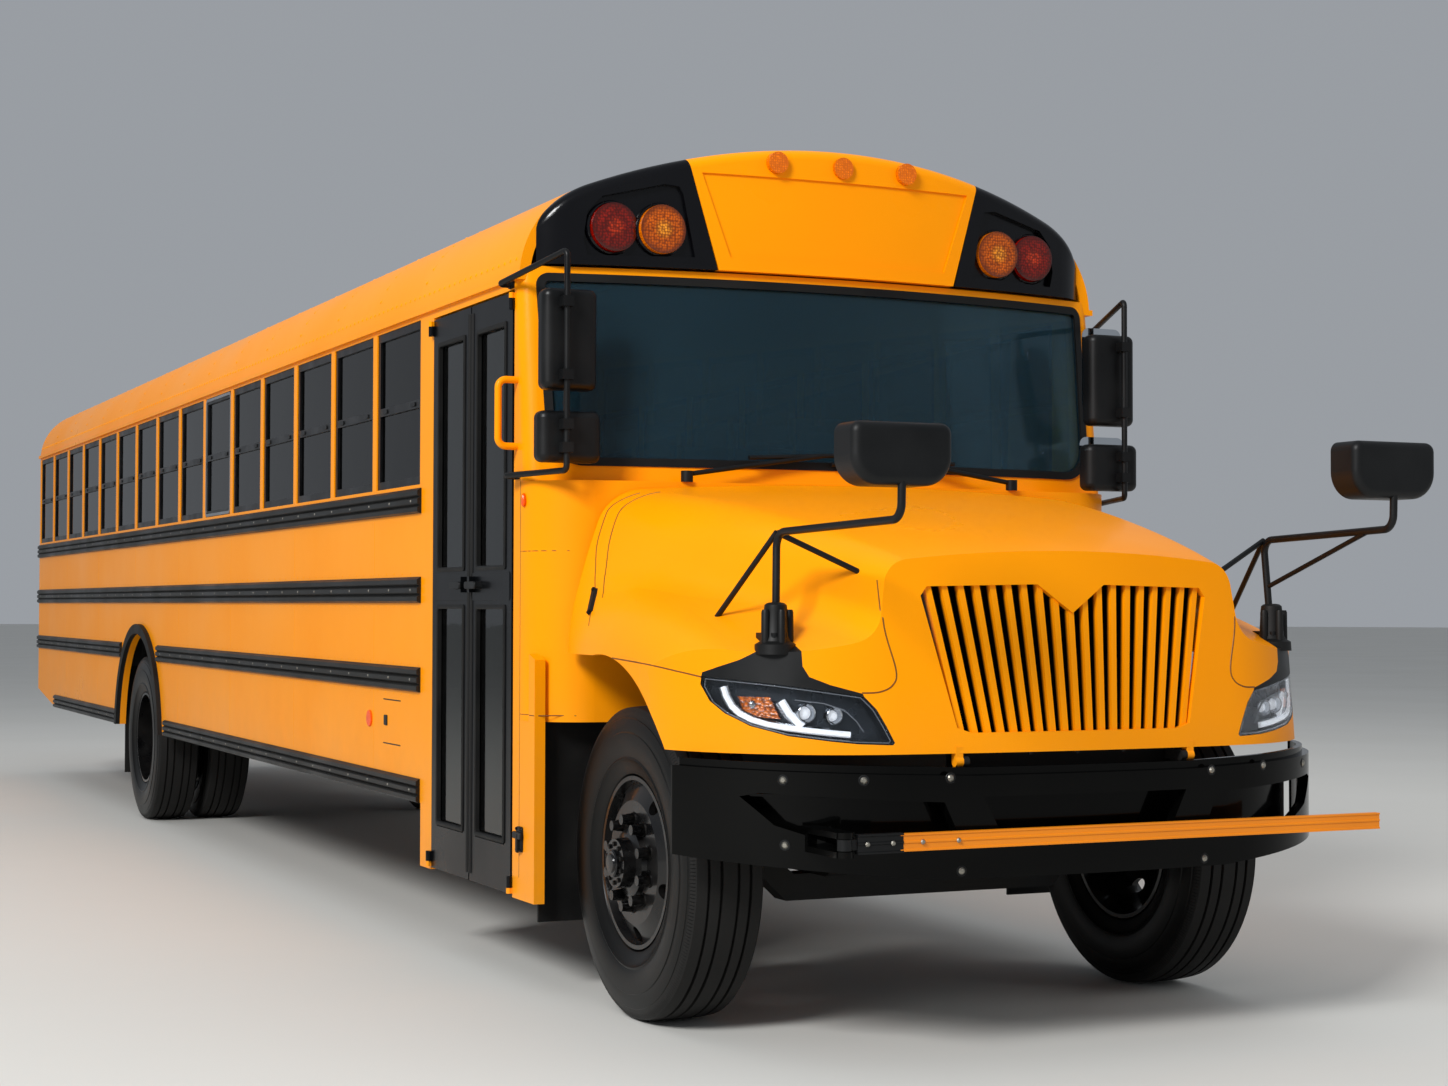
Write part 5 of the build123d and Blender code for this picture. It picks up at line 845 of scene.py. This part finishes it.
bowls, lamp_fronts = front_of("headlamps")
sunk = bmesh.ops.extrude_face_region(bowls, geom=lamp_fronts)
bmesh.ops.delete(bowls, geom=[face for face in lamp_fronts if face.is_valid], context="FACES_ONLY")
for vert in [item for item in sunk["geom"] if isinstance(item, bmesh.types.BMVert)]:
    middle_x = math.copysign(0.93, vert.co.x)
    vert.co = Vector((middle_x + (vert.co.x - middle_x) * 0.95, vert.co.y + 0.055, 1.05 + (vert.co.z - 1.05) * 0.92))
lamp_bowls = made("headlamp_bowls", bowls, bowl_grey, "hood", sharp=0.4)
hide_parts("headlamps")
lenses, lamp_fronts = front_of("headlamps")
bmesh.ops.delete(lenses, geom=[face for face in lenses.faces if face not in set(lamp_fronts)], context="FACES")
# the lens outline, drawn in a little, for the bright bead just inside it
lamp_x, lamp_middle_z = 0.90, 1.045
rim_spots = {(vert.co.x, vert.co.z) for edge in lenses.edges if edge.is_boundary for vert in edge.verts}
lamp_edge = [(lamp_x + (x - lamp_x) * 0.955, lamp_middle_z + (z - lamp_middle_z) * 0.93) for x, z in rim_spots if x > 0]
lamp_edge.sort(key=lambda spot: math.atan2(spot[1] - lamp_middle_z, spot[0] - lamp_x))
lamp_edge.append(lamp_edge[0])
inner = bmesh.ops.extrude_face_region(lenses, geom=lenses.faces[:], use_keep_orig=True)
for vert in [item for item in inner["geom"] if isinstance(item, bmesh.types.BMVert)]:
    vert.co.y += 0.004
made("headlamp_lenses", lenses, lens_clear, "hood", sharp=0.4)


def in_lamp(sign, x, z, deep):
    """A place at a depth behind the lens, with the way that the lens faces there."""
    hit = touch(lamp_skin, (sign * x, -8, z), (0, 1, 0))
    return hit and (hit[0] + Vector((0, deep, 0)), hit[1])


# columns: points along a guide, as out and up, and its width
guide_lines = ((((1.066, 1.124), (1.060, 1.094), (1.050, 1.066), (1.034, 1.044), (1.008, 1.026), (0.972, 1.013),
                 (0.930, 1.004), (0.880, 0.997), (0.820, 0.990), (0.757, 0.984)), 0.019),
               (((0.936, 1.084), (0.918, 1.046), (0.886, 1.008)), 0.024))
amber_shape = ((1.028, 1.096), (0.960, 1.095), (0.938, 1.030), (0.988, 1.034), (1.019, 1.054))
bright_line = ((0.905, 1.088), (0.830, 1.078), (0.775, 1.058), (0.742, 1.025), (0.722, 0.992))
guides = bmesh.new()
trims = bmesh.new()
turns = bmesh.new()
for sign in (-1, 1):
    for corners, width in guide_lines:
        spots = []
        for (x0, z0), (x1, z1) in zip(corners, corners[1:]):
            spots += [in_lamp(sign, x0 + (x1 - x0) * n / 5, z0 + (z1 - z0) * n / 5, 0.020) for n in range(5)]
        spots.append(in_lamp(sign, *corners[-1], 0.020))
        bead(guides, spots, width, 0.006)
        bead(trims, [(place + Vector((0, 0.007, 0)), facing) for place, facing in spots], width + 0.010, 0.004)
    rings = []
    for deep in (0.040, 0.030):
        centre = turns.verts.new(in_lamp(sign, 0.987, 1.066, deep)[0])
        ring = []
        for (x0, z0), (x1, z1) in zip(amber_shape, amber_shape[1:] + amber_shape[:1]):
            spots = [in_lamp(sign, x0 + (x1 - x0) * n / 3, z0 + (z1 - z0) * n / 3, deep)[0] for n in range(3)]
            ring += [turns.verts.new(spot) for spot in spots]
        for n in range(len(ring)):
            turns.faces.new((centre, ring[n], ring[(n + 1) % len(ring)]))
        rings.append(ring)
    join_rings(turns, rings)
    for x, z, wide in ((0.871, 1.048, 0.030), (0.797, 1.040, 0.027)):
        place, _ = in_lamp(sign, x, z, 0.046)
        turned(trims, ((0.0, wide), (0.022, wide), (0.024, wide - 0.002), (0.022, wide - 0.005), (0.004, wide - 0.009),
                       (0.0, wide - 0.009)), place, (0, -1, 0), 32, closed=True)
        turned(guides, ((0.002, 0.0), (0.002, wide - 0.010), (0.010, wide - 0.012), (0.016, wide * 0.35), (0.018, 0.0)),
               place, (0, -1, 0), 28)
    place, _ = in_lamp(sign, 1.000, 1.072, 0.038)
    turned(trims, ((0.0, 0.013), (0.010, 0.013), (0.014, 0.010), (0.016, 0.005), (0.016, 0.0)), place, (0, -1, 0), 20)
    bead(trims, [in_lamp(sign, x, z, 0.012) for x, z in bright_line], 0.006, 0.003)
    rim_line = [in_lamp(sign, x, z, 0.006) for x, z in lamp_edge]
    bead(trims, [hit for hit in rim_line if hit], 0.005, 0.002)
made("lamp_light_guides", guides, light_guide, "hood")
made("lamp_bright_trims", trims, chrome, "hood")
made("lamp_turn_signals", turns, turn_amber, "hood")
dress(powder_coat, "lamp_brows")

# Crossview mirrors.
# Two convex mirrors on bent tubes, which the driver reads over the hood's corners. Each black shell
# has a dished glass on the driver's side, and each tube stands in a ribbed rubber sleeve on the brow.
dress(powder_coat, "crossview_mirrors", "side_mirrors")
mirror_glass = finish("silvered_mirror_glass", "#C9CED3", "#B4BABF", 0.2, (0.02, 0.06), 0.2, 0.0002, 0.4, Metallic=1.0)
head_x, head_y, head_z = 0.872, -6.8055, 1.798
cross_glass = bmesh.new()
for sign in (-1, 1):
    rings = []
    for depth, share in ((-0.012, 0.94), (0.004, 0.94), (0.012, 0.84), (0.018, 0.66), (0.022, 0.4)):
        rings.append([cross_glass.verts.new((sign * head_x + u * share, head_y + depth, head_z + v * share))
                      for u, v in rounded_plate(0.30, 0.158, 0.066, 6)])
    join_rings(cross_glass, rings)
    cross_glass.faces.new(rings[0])
    top = cross_glass.verts.new((sign * head_x, head_y + 0.024, head_z))
    for n in range(len(rings[-1])):
        cross_glass.faces.new((rings[-1][n], rings[-1][(n + 1) % len(rings[-1])], top))
sleeves = bmesh.new()
for sign in (-1, 1):
    foot = (sign * 0.932, -6.2285, 1.225)
    turned(sleeves, ((0, 0), (0, 0.066), (0.030, 0.064), (0.040, 0.047), (0.055, 0.040), (0.135, 0.036), (0.150, 0.034),
                     (0.156, 0.026), (0.158, 0.014), (0.158, 0)), foot, (0, 0, 1), 28)
    for along, out in ((-0.040, -0.012), (0.040, -0.012), (0.0, -0.042)):
        turned(sleeves, ((0.02, 0), (0.02, 0.014), (0.128, 0.013), (0.136, 0.010), (0.136, 0)),
               (foot[0] + along, foot[1] + out, foot[2]), (0, 0, 1), 14)
made("crossview_sleeves", sleeves, epdm, "hood")
made("crossview_glass", cross_glass, mirror_glass, "hood")

# Side mirrors.
# Outside mirrors on tubular arms: a tall flat glass over a small convex one, each in a black shell
# that clamps to the upright tube, with the glass towards the driver.
mirror_skin = feel("side_mirrors")
side_glass = bmesh.new()
for sign in (-1, 1):
    for z, width, height in ((2.304, 0.180, 0.325), (1.9625, 0.205, 0.150)):
        hit = touch(mirror_skin, (sign * 1.165, -3.0, z), (0, -1, 0))
        if hit:
            plate(side_glass, rounded_plate(width, height, 0.03), (sign * 1.132, hit[0].y - 0.001, z), (-1, 0, 0),
                  0.004, 0.002)
made("side_mirror_glass", side_glass, mirror_glass, "chassis")

# Front bumper.
# A deep pressed bumper in gloss black with a dark air slot, held to the frame arms by bright
# carriage bolts. The crossing gate's bracket is bolted to its face on the door side.
bumper_black = finish("gloss_black_bumper_enamel", "#020202", "#080807", 0.4, (0.1, 0.2), 0.012, 0.0001, 0.6,
                      Coat_Weight=0.12, Coat_Roughness=0.03, Specular_IOR_Level=0.05)
dress(bumper_black, "front_bumper", "rear_bumper")
bumper_skin = feel("front_bumper")
bumper_bolts = []
for x, y, z in ((-0.974, -6.339, 0.852), (-0.757, -6.458, 0.852), (-0.483, -6.507, 0.855), (-0.969, -6.343, 0.658),
                (0.478, -6.508, 0.853), (0.71, -6.472, 0.86), (0.447, -6.511, 0.575), (-0.447, -6.511, 0.575),
                (0.974, -6.339, 0.852), (0.969, -6.343, 0.658)):
    place, facing, _, _ = bumper_skin.find_nearest(Vector((x, y - 0.02, z)))
    bumper_bolts.append([(place, facing if facing.y < 0 else -facing)])
fasteners("bumper_bolts", bumper_bolts, "chassis", zinc, 0.012, 0.006, crown=0.55, sides=16)
fasteners("bumper_washers", bumper_bolts, "chassis", powder_coat, 0.017, 0.0015, crown=0.9, sides=16)

# Crossing gate.
# A yellow extruded plastic bar that swings out ahead of the bumper. Two shallow grooves run along
# its face, and its hinge end is a black casting on an upright pivot, bolted through the bar.
gate_yellow = finish("extruded_yellow_polymer", "#F08A00", "#D97800", 0.6, (0.32, 0.48), 0.005, 0.0003, 0.6)
gate_y, gate_z = -6.5815, 0.677
# columns: out from the bar's middle, up
gate_section = ((-0.012, -0.026), (-0.012, -0.021), (-0.0095, -0.019), (-0.0095, -0.003), (-0.012, -0.001),
                (-0.012, 0.004), (-0.0095, 0.006), (-0.0095, 0.019), (-0.012, 0.021), (-0.012, 0.026), (0.012, 0.026),
                (0.012, -0.026))
for name, x0, x1, material, grow in (("gate_bar", -0.700, 1.080, gate_yellow, 1.0),
                                     ("gate_hinge_end", -0.842, -0.690, powder_coat, 1.12)):
    bar = bmesh.new()
    if name == "gate_hinge_end":
        turned(bar, ((-0.0185, 0), (-0.0185, 0.020), (-0.0165, 0.022), (0.0165, 0.022), (0.0185, 0.020), (0.0185, 0)),
               (-0.880, gate_y, gate_z), (0, 0, 1), 24)
        plate(bar, rounded_plate(0.05, 0.034, 0.006), (-0.862, -6.5745, gate_z), (1, 0, 0), 0.014, 0.003)
    rings = [[bar.verts.new((x, gate_y + y * grow, gate_z + z * grow)) for y, z in gate_section] for x in (x0, x1)]
    bar.faces.new(rings[0])
    bar.faces.new(rings[1][::-1])
    join_rings(bar, rings)
    gate = made(name, bar, material, "crossing_gate")
    if name == "gate_bar":
        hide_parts("crossing_gate")
gate_spots = [[((x, y, gate_z), (0, -1, 0))] for x, y in
              ((-0.503, -6.5945), (-0.625, -6.5945), (-0.725, -6.5950), (-0.81, -6.5950))]
fasteners("gate_bolts", gate_spots, "crossing_gate", zinc, 0.008, 0.004, crown=0.6, sides=12)

# Stop arm.
# A blank red octagon with a white edge on both faces, pressed from aluminium sheet and hinged in two
# brackets on the driver's side. It lies against the body when the bus is parked.
sign_red = finish("red_reflective_sheeting", "#B0101A", "#8E0C14", 0.1, (0.25, 0.38), 0.003, 0.0001, Coat_Weight=0.3)
dress(sign_red, "stop_arm")
sign_white = finish("white_reflective_sheeting", "#E9EAE8", "#D5D6D2", 0.1, (0.25, 0.38), 0.003, 0.0001,
                    Coat_Weight=0.3)
sign_y, sign_z = -3.0975, 1.615
corner_angles = [math.radians(22.5 + 45 * n) for n in range(8)]
borders = bmesh.new()
for face_x, out in ((1.2960, 1), (1.2900, -1)):
    rings = []
    for radius, lift in ((0.243, 0.0), (0.243, 0.0008), (0.226, 0.0008), (0.226, 0.0)):
        rings.append([borders.verts.new((face_x + out * lift, sign_y + radius * math.sin(angle),
                                         sign_z + radius * math.cos(angle))) for angle in corner_angles])
    join_rings(borders, rings, closed=True)
made("stop_arm_borders", borders, sign_white, "stop_arm")
arm_spots = [[((1.2958, sign_y - 0.19, sign_z + up), (1, 0, 0))] for up in (-0.05, 0.05)]
fasteners("stop_arm_bolts", arm_spots, "stop_arm", zinc, 0.008, 0.004, crown=0.6, sides=12)

# Rear door and rear lamps.
# The emergency door hangs on the entrance side of the rear wall and has two panes and a bright
# lever handle. Round reflectors stand under the tail lamps, and rivets hold the wall's sheets.
lever_z = 1.72
handle = bmesh.new()
plate(handle, rounded_plate(0.06, 0.14, 0.02), (-0.335, 6.9235, lever_z), (-1, 0, 0), 0.012, 0.004)
plate(handle, rounded_plate(0.19, 0.032, 0.014), (-0.275, 6.9350, lever_z), (-1, 0, 0), 0.016, 0.005)
made("rear_door_handle", handle, bright_metal, "emergency_door")
rear_discs = bmesh.new()
for sign in (-1, 1):
    turned(rear_discs, reflector_profile, (sign * 0.98, body_rear, 1.30), (0, 1, 0), 28)
made("rear_reflectors", rear_discs, orange_lens, "chassis")
rear_skin = feel("rear_wall")
rear_runs = [[touch(rear_skin, (x, 9, z), (0, -1, 0)) for x in ends]
             for z in (1.36, 2.60) for ends in ((-1.13, -0.47), (0.47, 1.13))]
fasteners("rear_rivets", rear_runs, "chassis", enamel, 0.007, 0.0028, spacing=rivet_pitch)

# Roof hatches.
# Moulded white polyester lids on rubber seals, which tilt for air and lift right out as exits. Each
# has a raised panel and a turn handle in a bezel underneath.
gel_coat = finish("white_gel_coat", "#DAD7CD", "#C2BDAE", 0.3, (0.28, 0.5), 0.004, 0.0004, 0.6)
dress(gel_coat, "hatch_front", "hatch_rear")
for lid, middle, body in (("front", -1.1935, "hatch_lid_front"), ("rear", 3.6365, "hatch_lid_rear")):
    panel = bmesh.new()
    plate(panel, rounded_plate(0.46, 0.46, 0.06, 6), (0, middle, 3.1205), (1, 0, 0), 0.0014, 0.001, up=(0, 1, 0))
    made(f"hatch_panel_{lid}", panel, gel_coat, body)

# Cabin.
# Ribbed rubber covers the floor. The benches are foam pads in dark blue vinyl over tube frames, with
# a sewn welt round each pad, and stand on pressed legs bolted through the floor.
floor_rubber = finish("ribbed_floor_rubber", "#161617", "#242322", 0.5, (0.5, 0.7), 0.01, 0.0003)
# ribs run along the bus 12 mm apart
ribs = add_node(floor_rubber, "ShaderNodeTexWave", {"Scale": 26.0}, bands_direction="X")
overlay(floor_rubber, ribs.outputs["Fac"], 0.002, 0.5)
dress(floor_rubber, "floor")
dash_plastic = finish("grained_dash_moulding", "#17181A", "#202123", 0.3, (0.45, 0.62), 0.0025, 0.0003)
dress(dash_plastic, "dashboard")
# expanded vinyl on knitted backing: leather grain 4 mm across, dull where it is sat on
seat_vinyl = finish("expanded_seat_vinyl", "#1E2636", "#2A3346", 0.25, (0.4, 0.62), 0.003, 0.0005, 0.6,
                    Sheen_Weight=0.1)
creases = add_node(seat_vinyl, "ShaderNodeTexVoronoi", {"Scale": 260.0}, feature="DISTANCE_TO_EDGE")
overlay(seat_vinyl, creases, 0.0008, 0.4)


def pad(shape, size, move, lean, crown=0.35):
    """A crowned foam pad: its broad faces swell, its sides pull in between corners, and a welt rounds its edge."""
    across, along = 14, 8
    half = Vector(size) / 2
    thin = min(range(3), key=lambda n: size[n])
    wide = [n for n in range(3) if n != thin]
    sheets = []
    for face in (-1, 1):
        grid = []
        for i in range(across + 1):
            row = []
            for j in range(along + 1):
                u = math.sin(math.pi / 2 * (2 * i / across - 1))
                v = math.sin(math.pi / 2 * (2 * j / along - 1))
                bulge = ((1 - u ** 6) * (1 - v ** 6)) ** 0.35 if abs(u) < 1 and abs(v) < 1 else 0.0
                spot = Vector((0, 0, 0))
                spot[wide[0]] = u * half[wide[0]] * (1 - 0.012 * (1 - v * v))
                spot[wide[1]] = v * half[wide[1]] * (1 - 0.02 * (1 - u * u))
                spot[thin] = face * half[thin] * (1 - crown + crown * (1 - u * u) * (1 - v * v)) * bulge
                edge = i in (0, across) or j in (0, along)
                turned_spot = Matrix.Rotation(lean, 3, "X") @ spot + Vector(move)
                row.append(sheets[0][i][j] if face > 0 and edge else shape.verts.new(turned_spot))
            grid.append(row)
        sheets.append(grid)
    for grid in sheets:
        for i in range(across):
            for j in range(along):
                shape.faces.new((grid[i][j], grid[i + 1][j], grid[i + 1][j + 1], grid[i][j + 1]))


leg_outline = ((-0.15, 0), (0.15, 0), (0.15, 0.008), (0.03, 0.02), (0.022, 0.27), (0.14, 0.29), (0.14, 0.30),
               (-0.14, 0.30), (-0.14, 0.29), (-0.022, 0.27), (-0.03, 0.02), (-0.15, 0.008))
bench_x = 0.673
bench_rows, bench_pitch = 14, 0.7
cushions = bmesh.new()
backs = bmesh.new()
legs = bmesh.new()
for sign in (-1, 1):
    for row in range(bench_rows):
        seat_y = body_front + 0.26 + bench_pitch * row
        pad(cushions, (0.975, 0.385, 0.125), (sign * bench_x, seat_y + 0.19, 1.392), lean=0.03)
        pad(backs, (0.975, 0.095, 0.745), (sign * bench_x, seat_y + 0.437, 1.735), lean=-0.09, crown=0.3)
        by_wheel = abs(seat_y + 0.24 - rear_axle_y) <= 0.9
        for leg_x in (0.262,) if by_wheel else (0.262, 1.05):
            plate(legs, leg_outline, (sign * leg_x - 0.018, seat_y + 0.21, 1.0405), (0, 1, 0), 0.036)
bench_cushions = made("bench_cushions", cushions, seat_vinyl, "chassis", sharp=1.5)
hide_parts("seat_benches")
bench_backs = made("bench_backs", backs, seat_vinyl, "chassis", sharp=1.5)
made("bench_legs", legs, powder_coat, "chassis")
driver_x = 0.56
driver_pads = bmesh.new()
pad(driver_pads, (0.50, 0.50, 0.13), (driver_x, -3.895, 1.435), lean=0.04)
pad(driver_pads, (0.49, 0.12, 0.60), (driver_x, -3.640, 1.760), lean=-0.17, crown=0.3)
pad(driver_pads, (0.27, 0.09, 0.16), (driver_x, -3.572, 2.110), lean=-0.17, crown=0.3)
driver_cushions = made("driver_cushions", driver_pads, seat_vinyl, "chassis", sharp=1.5)
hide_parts("driver_seat")
pedestal = bmesh.new()
turned(pedestal, ((0, 0), (0, 0.16), (0.02, 0.16), (0.035, 0.11), (0.24, 0.085), (0.27, 0.13), (0.335, 0.15),
                  (0.335, 0)), (driver_x, -3.893, 1.0402), (0, 0, 1), 28)
made("driver_pedestal", pedestal, powder_coat, "chassis")
